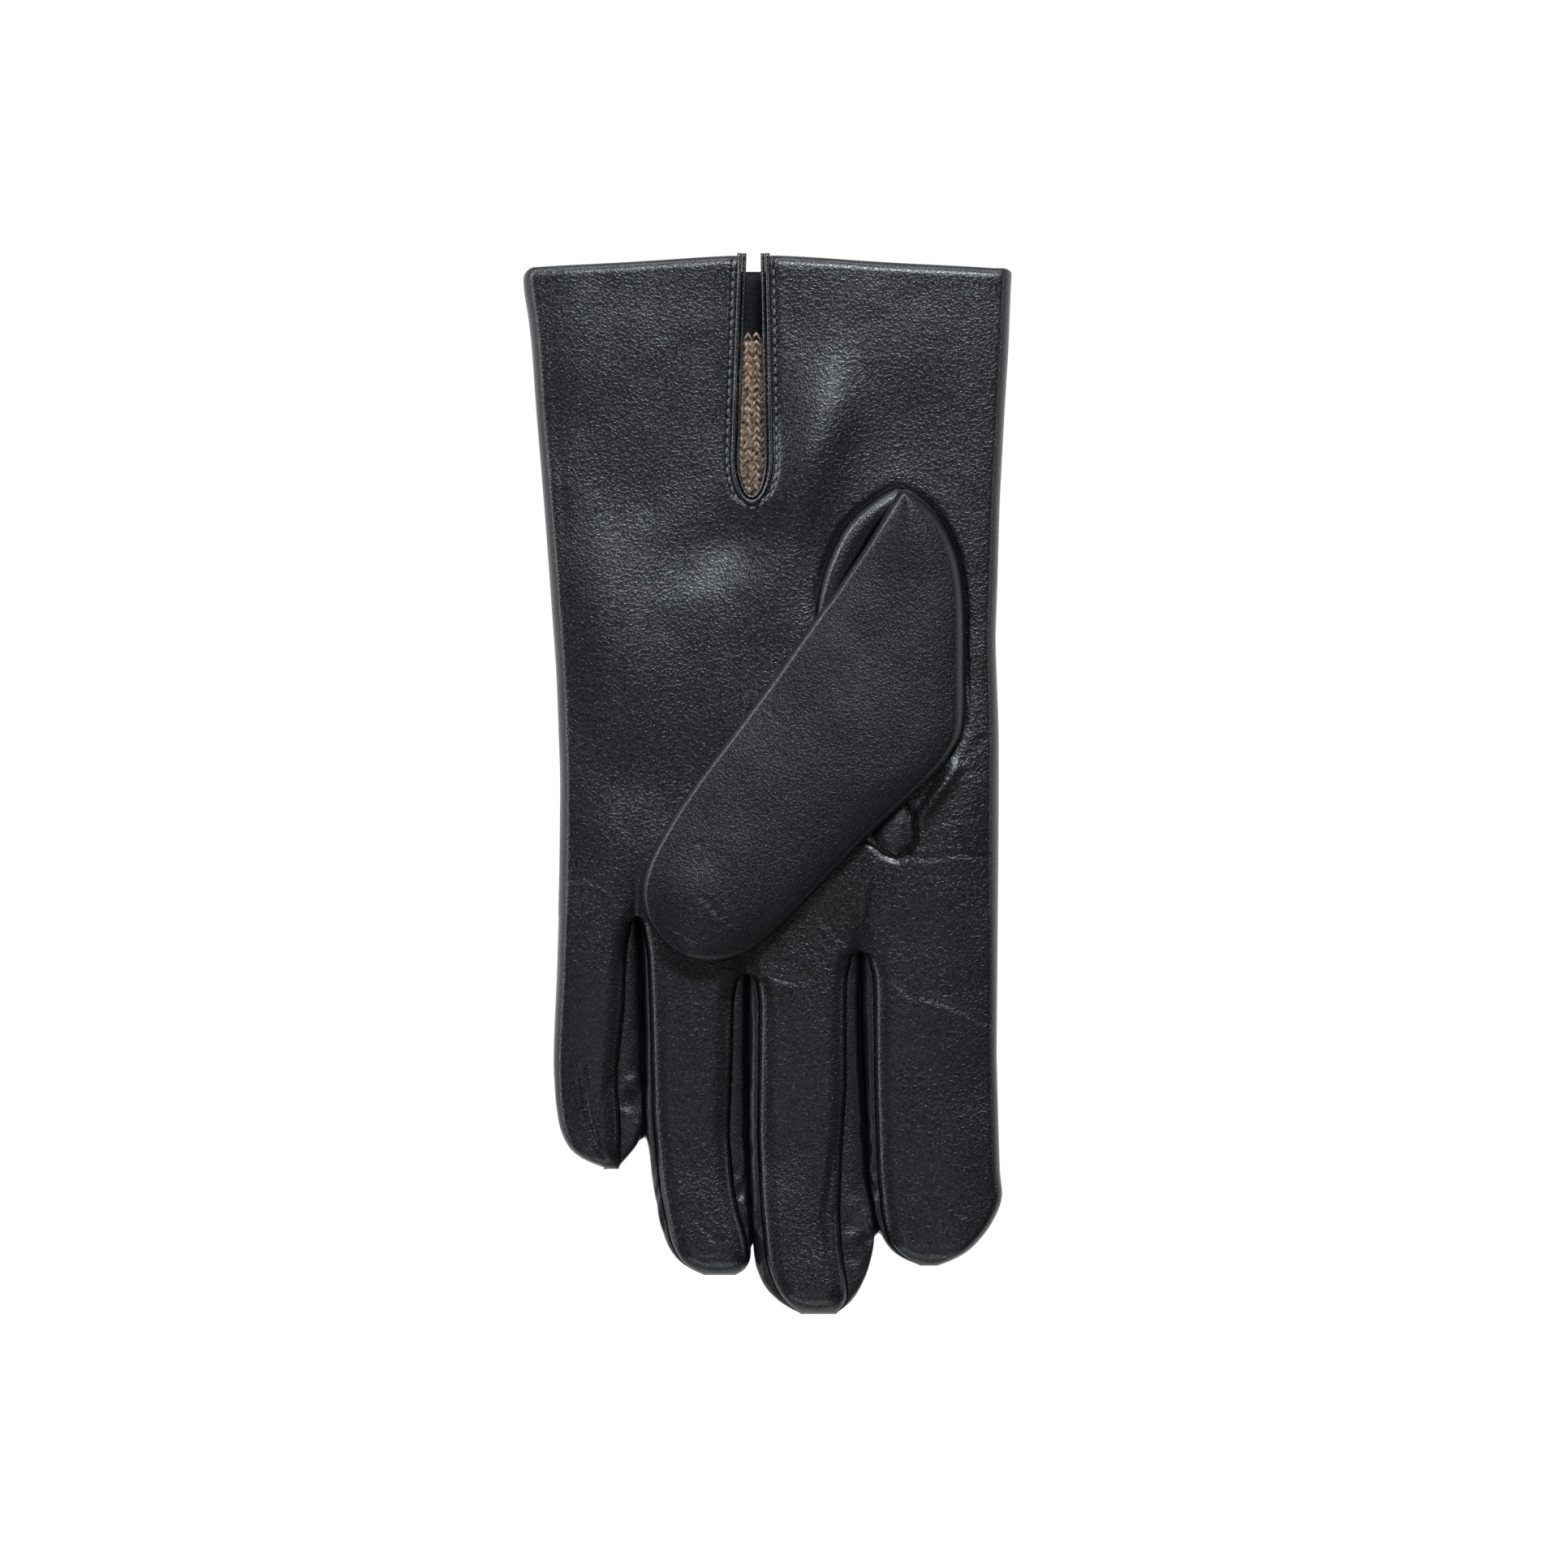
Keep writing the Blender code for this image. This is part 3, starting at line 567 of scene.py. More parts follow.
LEATHER = leather_material("nappa_palm", 0.66, 0.325, tone=0.85, gloss=0.98, cell=0.64)
SMOOTH = leather_material("nappa_thumb", 0.55, 0.36, tone=0.8, gloss=0.72, cell=0.56)
FINE = leather_material("nappa_fingers", 0.6, 0.36, cell=0.6)
EDGE = leather_material("nappa_edges", 0.5, 0.30, gloss=1.5, cell=0.7)
# a darkened, duller copy of the leather: painted shade for the leather inside the cuff and at the bottoms of the
# thumb's seams
SHADE_LEATHER = leather_material("nappa_painted_shade", 0.5, 0.60, tone=0.4, gloss=0.25)
THREAD = thread_material()
KNIT = knit_material()


# ---------------------------------------------------------------- palm leather
def corner_drop(x, depth):
    """How far a cuff edge falls at its two rounded corners."""
    far = np.clip((np.abs(x) - 55.0) / 2.7, 0.0, 1.0)
    return depth * (1.0 - np.sqrt(1.0 - 0.98 * far * far))


def cuff_y(x):
    """The palm side's cuff edge rises a little towards the slit."""
    base = 121.3 + 2.7 * (1.0 - np.clip(np.abs(x + 3.0) / 56.0, 0.0, 1.0) ** 1.6)
    wave = 0.35 * np.sin((x + 20.0) / 11.0) * np.exp(-((x / 60.0) ** 2))
    return base - corner_drop(x, 2.6) + wave


def back_cuff_y(x):
    return BACK_CUFF_Y - corner_drop(x, 2.2)


def cuff_share(y):
    """How much of the cuff edge's curve a row of the hand follows."""
    return float(smoothstep((y - 60.0) / 62.0))


def slit_edges(y):
    """(left x, right x) where the palm leather meets the binding."""
    top = np.clip((SLIT_TOP - y) / (SLIT_TOP - SLIT_NOSE), 0.0, 1.0)
    below = SLIT_NOSE - np.minimum(y, SLIT_NOSE)
    nose = np.sqrt(np.clip(1.0 - (below / (SLIT_NOSE - SLIT_BOTTOM)) ** 2, 0.0, 1.0))
    sides = (-6.9 - 1.7 * top, -0.1 + 0.9 * top)
    return [np.where(y < SLIT_NOSE, SLIT_X + (side - SLIT_X) * nose, side) for side in sides]


def wrap_angles(count):
    return np.radians(np.linspace(0.0, 90.0, count))


# columns of the palm leather at the finger join; each crotch has one of its own
inner_columns = np.concatenate(
    [
        np.linspace(-46.7, -31.0, 21, endpoint=False),
        np.linspace(-31.0, -5.3, 35, endpoint=False),
        np.linspace(-5.3, 21.5, 36, endpoint=False),
        np.linspace(21.5, 51.3, 39),
    ]
)
SPLIT = int(np.argmin(np.abs(inner_columns - (-3.8))))  # the column that the slit doubles


def palm_rows():
    rim_reach = 2.6
    rim = CUFF_Y - rim_reach * (1.0 - np.cos(wrap_angles(9)))
    beside_slit = np.linspace(CUFF_Y - rim_reach, SLIT_BOTTOM, 80)[1:]
    return np.concatenate([rim, beside_slit, np.linspace(SLIT_BOTTOM, JOIN_Y, 128)[1:]])


def palm_grid():
    """Rows from the cuff to the finger join; the column at the slit is doubled."""
    rows = palm_rows()
    angles = wrap_angles(WRAPS)[:-1]
    ref = inner_columns
    span_l = (ref[: SPLIT + 1] - ref[0]) / (ref[SPLIT] - ref[0])
    span_r = (ref[SPLIT:] - ref[SPLIT]) / (ref[-1] - ref[SPLIT])
    xs, ys, lifts = [], [], []
    for y in rows:
        xl, xr = float(edge_left(y)), float(edge_right(y))
        slit_left, slit_right = (float(x) for x in slit_edges(np.array(y)))
        if y < SLIT_BOTTOM:
            t = float(smoothstep((SLIT_BOTTOM - y) / (SLIT_BOTTOM - JOIN_Y)))
            slit_left = slit_right = SLIT_X + (ref[SPLIT] - SLIT_X) * t
        a, b = xl + WRAP, xr - WRAP
        if y == rows[-1]:
            a, b = ref[0], ref[-1]
        inner = np.concatenate([a + (slit_left - a) * span_l, slit_right + (b - slit_right) * span_r])
        left_wrap = xl + (a - xl) * (1.0 - np.cos(angles))
        right_wrap = xr - (xr - b) * (1.0 - np.cos(angles[::-1]))
        x = np.concatenate([left_wrap, inner, right_wrap])
        xs.append(x)
        ys.append(y + (cuff_y(x) - CUFF_Y) * cuff_share(y))
        lifts.append(np.concatenate([np.sin(angles), np.ones(len(inner)), np.sin(angles[::-1])]))
    x, y, lift = arrays(xs, ys, lifts)
    # the cuff edge rolls down, a line is pressed in along the outer side, and the binding presses in the slit
    roll = 1.0 - np.clip((cuff_y(x) - y) / 2.4, 0.0, 1.0)
    edge = 1.0 - np.sqrt(np.clip(1.0 - roll * roll, 0.0, 1.0))
    fold = MID + EDGE_LIFT
    z = fold + (palm_height(x, y) - fold) * lift - 1.7 * edge * lift
    side_line = np.exp(-(((x - edge_left(y) - 4.6) / 0.5) ** 2))
    z = z - 0.16 * side_line * smoothstep((y - 30.0) / 40.0)
    slit = np.minimum(*(np.abs(x - side) for side in slit_edges(y)))
    return x, y, z - 0.95 * np.exp(-(((slit - 0.75) / 0.55) ** 2)) * smoothstep((y - SLIT_BOTTOM - 0.2) / 1.5)


def build_palm():
    """The palm leather of the hand, with the thumb opening cut out and its edge rolled in."""
    x, y, z = palm_grid()
    cols = x.shape[1]
    faces = grid_faces(*x.shape)
    keep = faces[:, 0] % cols != WRAPS - 1 + SPLIT
    reach = in_thumb_hole(x, y)
    push = np.where((reach > 0.82) & (reach < 1.0) & (z > MID), 1.0 / np.maximum(reach, 0.5), 1.0)
    x = THUMB_HOLE[0] + (x - THUMB_HOLE[0]) * push
    y = THUMB_HOLE[1] + (y - THUMB_HOLE[1]) * push
    z = z - 0.9 * np.clip(1.0 - np.abs(reach - 0.95) / 0.16, 0.0, 1.0) * (z > MID)
    verts = flat_list(x, y, z)
    middle = verts[faces].mean(1)
    keep &= ~((in_thumb_hole(middle[:, 0], middle[:, 1]) < 0.96) & (middle[:, 2] > MID))
    flat = flat_list(*unrolled(x, y, z, WRAPS - 1, WRAPS - 1))
    ob = mesh_from("palm_leather", verts, faces[keep], flat / UV_MM, LEATHER)
    weld = ob.modifiers.new("weld", "WELD")
    weld.merge_threshold = 0.00001
    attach(ob, "hand")
    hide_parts("trank_palm")


# ---------------------------------------------------------------- fingers
def finger_rows(spec):
    """Rows of a finger from the join to its tip, closer where the tip rounds off."""
    end = spec["tip"] + TIP_ROUND
    rounded = spec["tip"] + TIP_ROUND * (1.0 - np.sin(wrap_angles(14)))
    return np.concatenate([np.arange(JOIN_Y, end, -0.75), rounded[1:]])


def finger_section(spec, y):
    """(rounding towards the tip from 1 to 0, thickness lost since the palm, height of the side fold) at y."""
    rise = max(0.0, 1.0 - (y - spec["tip"]) / TIP_ROUND)
    share = max(0.0, (JOIN_Y - y) / (JOIN_Y - spec["tip"]))
    loss = (TOP - spec["thick"]) * float(smoothstep(share))
    return math.sqrt(max(0.0, 1.0 - rise * rise)), loss, MID - loss * 0.35


def sewn_edges(spec, y):
    return [float(seam_x(spec, side, y)) for side in ("left", "right")]


def finger_front(name, spec):
    """The palm-side leather of one finger: sewn edges roll in, plain sides wrap round to the fold."""
    rows = finger_rows(spec)
    first, last = [spec["crotch_" + side] for side in ("left", "right")]
    lo = first[0] if first else inner_columns[0]
    hi = last[0] if last else inner_columns[-1]
    ref = inner_columns[(inner_columns >= lo - 1e-6) & (inner_columns <= hi + 1e-6)]
    span = (ref - ref[0]) / (ref[-1] - ref[0])
    angles = wrap_angles(WRAPS)[:-1]
    xs, ys, zs = [], [], []
    for y in rows:
        left, right = sewn_edges(spec, y)
        crown, loss, mid = finger_section(spec, y)
        wrap = min(WRAP, 0.4 * (right - left))
        a = left + wrap if spec["out_left"] is None else left
        b = right - wrap if spec["out_right"] is None else right
        if y == rows[0]:
            a, b = ref[0], ref[-1]
        inner = a + (b - a) * span
        level = np.full(len(inner), y)
        drop = np.zeros(len(inner))
        lips = {}
        for side, gap in (("left", inner - left), ("right", right - inner)):
            crotch = spec["crotch_" + side]
            if crotch:
                lips[side] = float(smoothstep((crotch[1] - y) / 1.5))
                drop += valley(gap, y - crotch[1]) + lips[side] * 0.7 * np.exp(-((gap / 0.42) ** 2))
        for xp, yc in CROTCHES:
            if (xp, yc) not in (first, last):
                drop += valley(np.abs(inner - xp), y - yc)
        relief = front_relief(inner, level)
        for points, wide, depth in FINGER_CREASES[name]:
            relief = relief + groove(inner, level, points, 0.7 * wide, 0.6 * depth)
        low = mid + EDGE_LIFT
        z = low + (SKIN - drop + relief - loss - low) * crown
        x_row, z_row = [inner], [z]
        for side, sign, edge, rim, at in (("left", 1, left, a, 0), ("right", -1, right, b, -1)):
            if spec["out_" + side] is None:
                side_x = edge + (rim - edge) * (1.0 - np.cos(angles))
                side_z = low + (z[at] - low) * np.sin(angles)
            else:
                side_x = inner[at] + sign * lips[side] * np.array((0.5, 0.1))
                side_z = z[at] - lips[side] * crown * np.array((2.4, 0.8))
            for row, part in ((x_row, side_x), (z_row, side_z)):
                row.insert(0, part) if side == "left" else row.append(part[::-1])
        xs.append(np.concatenate(x_row))
        ys.append(np.full(len(xs[-1]), y))
        zs.append(np.concatenate(z_row))
    return arrays(xs, ys, zs)


def fourchette(name, spec, side):
    """The side strip of a finger, from the front sewn edge round to the back one."""
    crotch_y = spec["crotch_" + side][1]
    tip = spec["tip"]
    start, end = 4.0 * np.linspace(0.0, 1.0, 9)[:-1] ** 1.5, 1.6 * np.linspace(1.0, 0.0, 9) ** 2
    rows = np.concatenate([crotch_y - start, np.arange(crotch_y - 4.0, tip + 2.0, -0.8), tip + end])
    us = np.linspace(0.0, 1.0, 17)
    sign = -1.0 if side == "left" else 1.0
    arc = np.clip(us / 0.55, 0.0, 1.0) * np.pi / 2.0
    fallen = 0.36 * (1.0 - np.cos(arc)) + 0.64 * np.clip((us - 0.5) / 0.5, 0.0, 1.0)
    xs, ys, zs = [], [], []
    for y in rows:
        level = np.full(len(us), y)
        seam, out = float(seam_x(spec, side, y)), float(spec["out_" + side](y))
        low_x = float(back_seam(name, side, y))
        crown, loss, mid = finger_section(spec, y)
        high = mid + (SKIN - 2.65 - loss - mid) * crown
        low = mid - (mid - (3.3 if side == "right" else 0.8)) * crown
        gape = float(smoothstep((crotch_y - y) / 3.0))
        seam += sign * 0.30 * gape
        x = seam + (out - seam) * np.sin(arc) + (low_x - out) * smoothstep((us - 0.6) / 0.35)
        ripple = 0.14 * noise(level, us * 12.0 + (3 if side == "left" else 40), 3.2, 21) * np.sin(np.pi * us)
        near_tip = 1.0 - float(smoothstep((y - tip) / 14.0))
        ripple = (np.minimum(ripple, 0.0) * 2.0 - 0.02) * (1.0 + near_tip) * gape
        pucker = 0.9 * noise(us * 9.0 + (5 if name == "little" else 20), level, 2.6, 33)
        pucker = pucker * math.exp(-(((y - tip - 17.0) / 9.0) ** 2)) * np.sin(np.pi * np.clip(us / 0.6, 0.0, 1.0))
        xs.append(x + ripple * sign)
        ys.append(level)
        zs.append(high + (low - high) * fallen + pucker)
    return arrays(xs, ys, zs, [us * 10.0] * len(rows))


def finger_back(name, spec):
    """The back leather of a finger, flat underneath with rounded edges."""
    cols = np.linspace(0.0, 1.0, 25)
    angles = wrap_angles(7)
    xs, ys, zs = [], [], []
    for y in finger_rows(spec):
        edges = sewn_edges(spec, y)
        crown, _, mid = finger_section(spec, y)
        fold = min(WRAP, 0.4 * (edges[1] - edges[0]))
        base = mid - mid * crown
        row_x, row_z = [], []
        for side, sign, edge, ledge in (("left", -1, edges[0], 0.85), ("right", 1, edges[1], 3.4)):
            crotch = spec["crotch_" + side]
            if crotch and y < crotch[1]:
                edge = float(back_seam(name, side, y))
            reach, rise = (2.6, min(ledge * crown, mid - base)) if crotch else (fold, mid - base)
            x = edge - sign * reach * (1.0 - np.cos(angles))
            z = base + rise * (1.0 - np.sin(angles))
            z = z + back_swell(x, np.full(len(x), y)) * crown * np.sin(angles) ** 4
            row_x.append(x[::-sign])
            row_z.append(z[::-sign])
        inner = row_x[0][-1] + (row_x[1][0] - row_x[0][-1]) * cols[1:-1]
        row_z.insert(1, base + back_swell(inner, np.full(len(inner), y)) * crown)
        row_x.insert(1, inner)
        xs.append(np.concatenate(row_x))
        ys.append(np.full(len(xs[-1]), y))
        zs.append(np.concatenate(row_z))
    return arrays(xs, ys, zs)


def finger_sock(name, spec):
    """The lining inside a finger, a plain sock a little smaller than the leather."""
    around = np.radians(np.arange(0, 360, 15))
    c, s = np.cos(around), np.sin(around)
    xs, ys, zs = [], [], []
    for y in np.arange(JOIN_Y, spec["tip"] + 3.0, -2.0):
        left, right = sewn_edges(spec, y)
        left, right = left + 1.6, right - 1.6
        high = TOP - 3.6 - finger_section(spec, y)[1]
        near = float(np.clip((y - spec["tip"]) / 9.0, 0.2, 1.0)) ** 0.5
        xs.append((left + right) / 2 + (right - left) / 2 * np.sign(c) * np.abs(c) ** 0.5 * near)
        zs.append(1.6 + (high - 1.6) * (0.5 + 0.5 * np.sign(s) * np.abs(s) ** 0.5 * near))
        ys.append(np.full(len(around), y))
    return grid_object(name + "_sock", *arrays(xs, ys, zs), KNIT, closed=True)


def bend(ob, spec):
    """Bakes a piece's placement into its mesh; the x of the finger's middle near the knuckle is worked out but
    nothing uses it.
    """
    x = float((spec["left"](-50.0) + spec["right"](-50.0)) / 2.0) / 1000.0
    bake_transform(ob)


def build_finger(name):
    """Front and back leather, side strips and lining of one finger."""
    spec = FINGERS[name]
    x, y, z = finger_front(name, spec)
    sides = [WRAPS - 1 if spec["out_" + side] is None else 2 for side in ("left", "right")]
    front = grid_object(name + "_front_leather", x, y, z, LEATHER, uv=unrolled(x, y, z, *sides))
    bend(front, spec)
    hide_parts(name + "_palm_panel")
    x, y, z = finger_back(name, spec)
    back = grid_object(name + "_back_leather", x, y, z, LEATHER, flip=True, uv=unrolled(x, y, z, 6, 6))
    bend(back, spec)
    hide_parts(name + "_back_panel")
    for left, right in NEIGHBOURS:
        if name not in (left, right):
            continue
        side = "right" if name == left else "left"
        x, y, z, around = fourchette(name, spec, side)
        plan = (around + x * 0.2, y)
        strip = grid_object(f"{name}_side_strip_{side}", x, y, z, FINE, flip=side == "left", uv=plan)
        bend(strip, spec)
        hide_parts(f"{name}_fourchette_{side}", f"fourchette_{left}_{right}")
    sock = finger_sock(name, spec)
    bend(sock, spec)
    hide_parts(name + "_lining")


# ---------------------------------------------------------------- hand back, hem, lining
def build_back():
    """The back leather of the hand, flat on the table but for slow swells."""
    angles = wrap_angles(9)
    cols = np.linspace(0.0, 1.0, 70)
    xs, ys, zs = [], [], []
    for y in np.linspace(CUFF_Y, JOIN_Y, 120):
        xl, xr = float(edge_left(y)), float(edge_right(y))
        left_wrap = xl + WRAP * (1.0 - np.cos(angles))
        right_wrap = (xr - WRAP * (1.0 - np.cos(angles)))[::-1]
        inner = left_wrap[-1] + (right_wrap[0] - left_wrap[-1]) * cols[1:-1]
        x = np.concatenate([left_wrap, inner, right_wrap])
        lift = np.concatenate([np.sin(angles), np.ones(len(inner)), np.sin(angles[::-1])])
        xs.append(x)
        ys.append(y + (back_cuff_y(x) - CUFF_Y) * cuff_share(y))
        zs.append(MID - MID * lift + back_swell(x, ys[-1]) * lift**4)
    x, y, z = arrays(xs, ys, zs)
    z = z + 0.9 * np.exp(-np.maximum(BACK_CUFF_Y - y, 0.0) / 0.6)
    ob = grid_object("back_leather", x, y, z, LEATHER, flip=True, uv=unrolled(x, y, z, 8, 8))
    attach(ob, "hand")
    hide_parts("trank_back")


def ring_shape(y, inset, count=420):
    """A closed section of the hand at y, inset from the outside of the leather, with evenly spaced points."""
    xl, xr = float(edge_left(y)) + inset, float(edge_right(y)) - inset
    a = np.linspace(0.0, 2.0 * np.pi, 1441)
    c, s = np.cos(a), np.sin(a)
    x = (xl + xr) / 2 + (xr - xl) / 2 * np.sign(c) * np.abs(c) ** 0.32
    z = MID + (MID - inset) * np.sign(s) * np.abs(s) ** 0.32
    length = run_length(x, z)
    at = np.arange(count) * length[-1] / count
    return np.interp(at, length, x), np.interp(at, length, z)


def build_hem():
    """Leather turned in at the cuff: it rolls over the edge and runs inside as far as the lining."""
    inset = (0.15, 0.45, 1.0, 1.35, 1.45, 1.5, 1.5, 1.6)
    back = (0.7, 0.15, 0.1, 0.8, 3.0, 8.0, 14.0, 17.0)
    xs, ys, zs = [], [], []
    for i, b in zip(inset, back):
        x, z = ring_shape(121.0 - b, i)
        low, top = back_cuff_y(x), cuff_y(x)
        ys.append(low + (top - low) * smoothstep((z - 6.6) / 3.0) - b)
        xs.append(x)
        zs.append(np.where(z > MID, z - 1.9 * smoothstep((z - MID) / 4.0), z))

    def at_slit(x, y, z):
        left, right = slit_edges(y)
        return (z > MID) & (x > left - 0.4) & (x < right + 0.4)

    # its leather is darkened as painted shade, for the inside of the cuff
    ob = grid_object("cuff_hem_leather", *arrays(xs, ys, zs), SHADE_LEATHER, closed=True, drop=at_slit)
    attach(ob, "hand")
    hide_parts("cuff_hem")


def knit_stitches():
    """Two slanting strands to each stitch, laid in columns, where the slit shows the lining."""
    wale, course = 2.1, 1.70  # width and height of a stitch
    turns, sides = 9, 7
    t = np.linspace(0.0, 1.0, turns)
    verts, faces = [], []
    for i in range(-4, 5):
        for j in range(25):
            wander = noise(np.array([i * 9.0, i * 9.0 + 40.0]), np.array([j * 1.0, j * 1.0]), 1.6, 6)
            cx = SLIT_X + i * wale + 0.22 * float(wander[0])
            cy = 63.6 + j * course + 0.25 * float(wander[1])
            for hand in (-1.0, 1.0):
                px = cx + hand * wale * (0.04 + 0.46 * t)
                py = cy + course * (1.10 * t - 0.1)
                pz = 6.6 + 1.1 * np.sin(np.pi * t) + 0.12 * float(noise(cx, cy, 1.0, 4))
                thick = 0.27 * np.sin(np.pi * np.clip(t, 0.12, 0.88)) ** 0.6
                faces.append(grid_faces(turns, sides, closed=True, start=len(verts) * turns * sides))
                verts.append(tube_points(np.stack((px, py, pz), -1), thick, sides))
    verts = np.concatenate(verts)
    return mesh_from("knit_lining_stitches", verts, np.concatenate(faces), verts[:, :2] / UV_MM, KNIT)


def build_lining():
    """The knitted lining of the hand: strands where the slit shows it, a plain tube elsewhere."""
    xs, ys, zs = [], [], []
    for y in np.linspace(104.5, JOIN_Y, 60):
        x, z = ring_shape(y, 2.7, 240)
        xs.append(x)
        zs.append(z)
        ys.append(np.full(len(x), y))

    def opening(x, y, z):
        slit = (x > -11.5) & (x < 4.0) & (y > 62.0)
        thumb = ((x - 35.0) / 9.0) ** 2 + ((y - 38.0) / 21.5) ** 2 < 1.0
        return (z > MID) & (slit | thumb)

    ob = grid_object("knit_lining_hand", *arrays(xs, ys, zs), KNIT, closed=True, drop=opening)
    stitches = knit_stitches()
    for piece in (ob, stitches):
        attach(piece, "hand")
    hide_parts("hand_lining")


# ---------------------------------------------------------------- slit binding and stitching
def slit_line(offset, top, count=90):
    """The U line round the slit at a distance outside the middle of the binding."""
    ys = np.linspace(top, SLIT_NOSE, 40)
    share = (SLIT_TOP - ys) / (SLIT_TOP - SLIT_NOSE)
    left = np.column_stack((-6.35 - 1.65 * share - offset, ys))
    right = np.column_stack((-0.75 + 0.85 * share + offset, ys))[::-1]
    a = np.radians(np.linspace(180.0, 360.0, 31))[1:-1]
    nose = np.column_stack((SLIT_X + (4.05 + offset) * np.cos(a), SLIT_NOSE + (9.9 + offset) * np.sin(a)))
    return path(np.concatenate([left, nose, right]), count)


def build_slit():
    """The binding, two rolls of leather round the slit, and the stitches outside it."""

    def rope(name, offset, z, radius, squash):
        line = slit_line(offset, 124.7, 150)
        height = z + 0.25 * noise(line[:, 0], line[:, 1], 9.0, 2)
        return tube(name, np.column_stack((line, height)), radius, EDGE, 10, squash)

    inner = rope("slit_binding_inner", -0.68, 11.3, 0.50, 1.6)
    outer = rope("slit_binding_outer", 0.44, 11.8, 0.58, 1.5)
    binding = join([inner, outer], "slit_binding")
    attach(binding, "hand")
    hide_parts("vent_binding")
    # every stitch is its own short, sunk-ended loop of thread
    line = slit_line(1.85, 123.0, 400)
    length = run_length(*line.T)
    pitch, stitch, points = 2.3, 1.5, 9
    parts = []
    for k in range(int(length[-1] / pitch)):
        s = k * pitch + 0.35 + np.linspace(0.0, stitch, points)
        x, y = (np.interp(s, length, column) for column in line.T)
        z = palm_height(x, y) - 0.75 + 0.85 * np.sin(np.pi * np.linspace(0.0, 1.0, points)) ** 0.5
        parts.append(tube(f"stitch_{k}", np.column_stack((x, y, z)), 0.27, THREAD, 6, 0.9))
    stitches = join(parts, "slit_stitches")
    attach(stitches, "hand")
    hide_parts("vent_stitching")


# ---------------------------------------------------------------- thumb
THUMB_LEFT = path(
    ((30.6, 69.0), (26.0, 61.0), (22.5, 55.3), (14.1, 43.0), (11.1, 39.4), (0.3, 23.9), (-8.0, 12.8),
        (-16.5, 1.6), (-22.0, -6.5), (-25.8, -13.0), (-28.6, -18.4), (-30.0, -23.5), (-29.9, -28.0),
        (-28.6, -32.0), (-25.8, -36.0), (-22.5, -38.8), (-20.5, -39.9)),
    150, 2.0,
)
THUMB_RIGHT = path(
    ((32.4, 69.3), (35.9, 67.4), (39.0, 64.3), (42.2, 59.0), (44.4, 53.0), (45.5, 46.0), (45.9, 37.8),
        (45.9, 24.6), (45.8, 15.5), (45.0, 11.0), (42.2, 6.4), (38.0, 1.4), (33.3, -3.0), (23.3, -12.2),
        (17.0, -19.0), (10.3, -26.0), (5.0, -31.4), (0.3, -36.0), (-3.5, -39.0), (-8.0, -41.2), (-12.5, -42.0),
        (-16.0, -41.6), (-18.5, -40.8)),
    150, 2.0,
)
CRESCENT_OUTER = ((30.0, 69.7), (27.5, 68.6), (24.6, 66.7), (21.0, 63.8), (17.8, 60.3), (15.3, 55.6),
    (13.3, 50.6), (11.9, 45.5), (11.2, 41.0), (10.9, 37.5))
CRESCENT_INNER = ((33.5, 67.5), (28.0, 60.0), (24.5, 54.0), (17.0, 42.6), (13.8, 37.6))
QUIRK_LEFT = ((28.0, -5.5), (25.0, -8.5), (23.6, -11.5), (25.4, -14.4), (29.4, -17.0))
QUIRK_RIGHT = ((31.6, -4.0), (32.8, -7.5), (33.7, -11.0), (33.2, -14.8), (30.6, -17.1))
THUMB_CREASES = (
    (((-17.0, -25.0), (-13.5, -28.5), (-10.5, -31.0), (-8.0, -33.0)), 0.7, 0.5),
    (((-12.5, -31.5), (-13.0, -28.0), (-15.0, -25.5)), 0.5, 0.25),
    (((-26.0, -31.5), (-22.0, -34.0), (-17.0, -37.0)), 0.6, 0.3),
    (((-24.0, -35.0), (-19.0, -38.0)), 0.5, 0.2),
    (((-22.0, -12.0), (-17.0, -13.5), (-11.0, -17.5)), 0.5, 0.18),
    (((-13.0, -19.0), (-10.0, -17.0), (-8.0, -20.0)), 0.5, 0.2),
    (((-2.0, 21.0), (0.5, 17.0), (5.0, 12.0)), 0.5, 0.25),
    (((3.0, 16.0), (6.0, 19.0), (8.0, 24.0)), 0.4, 0.12),
)


def rounded(distance, radius):
    """Profile of a rounded edge: 0 on the edge, 1 from one radius inwards."""
    q = 1.0 - np.clip(distance / radius, 0.0, 1.0)
    return np.sqrt(np.clip(1.0 - q * q, 0.0, 1.0))


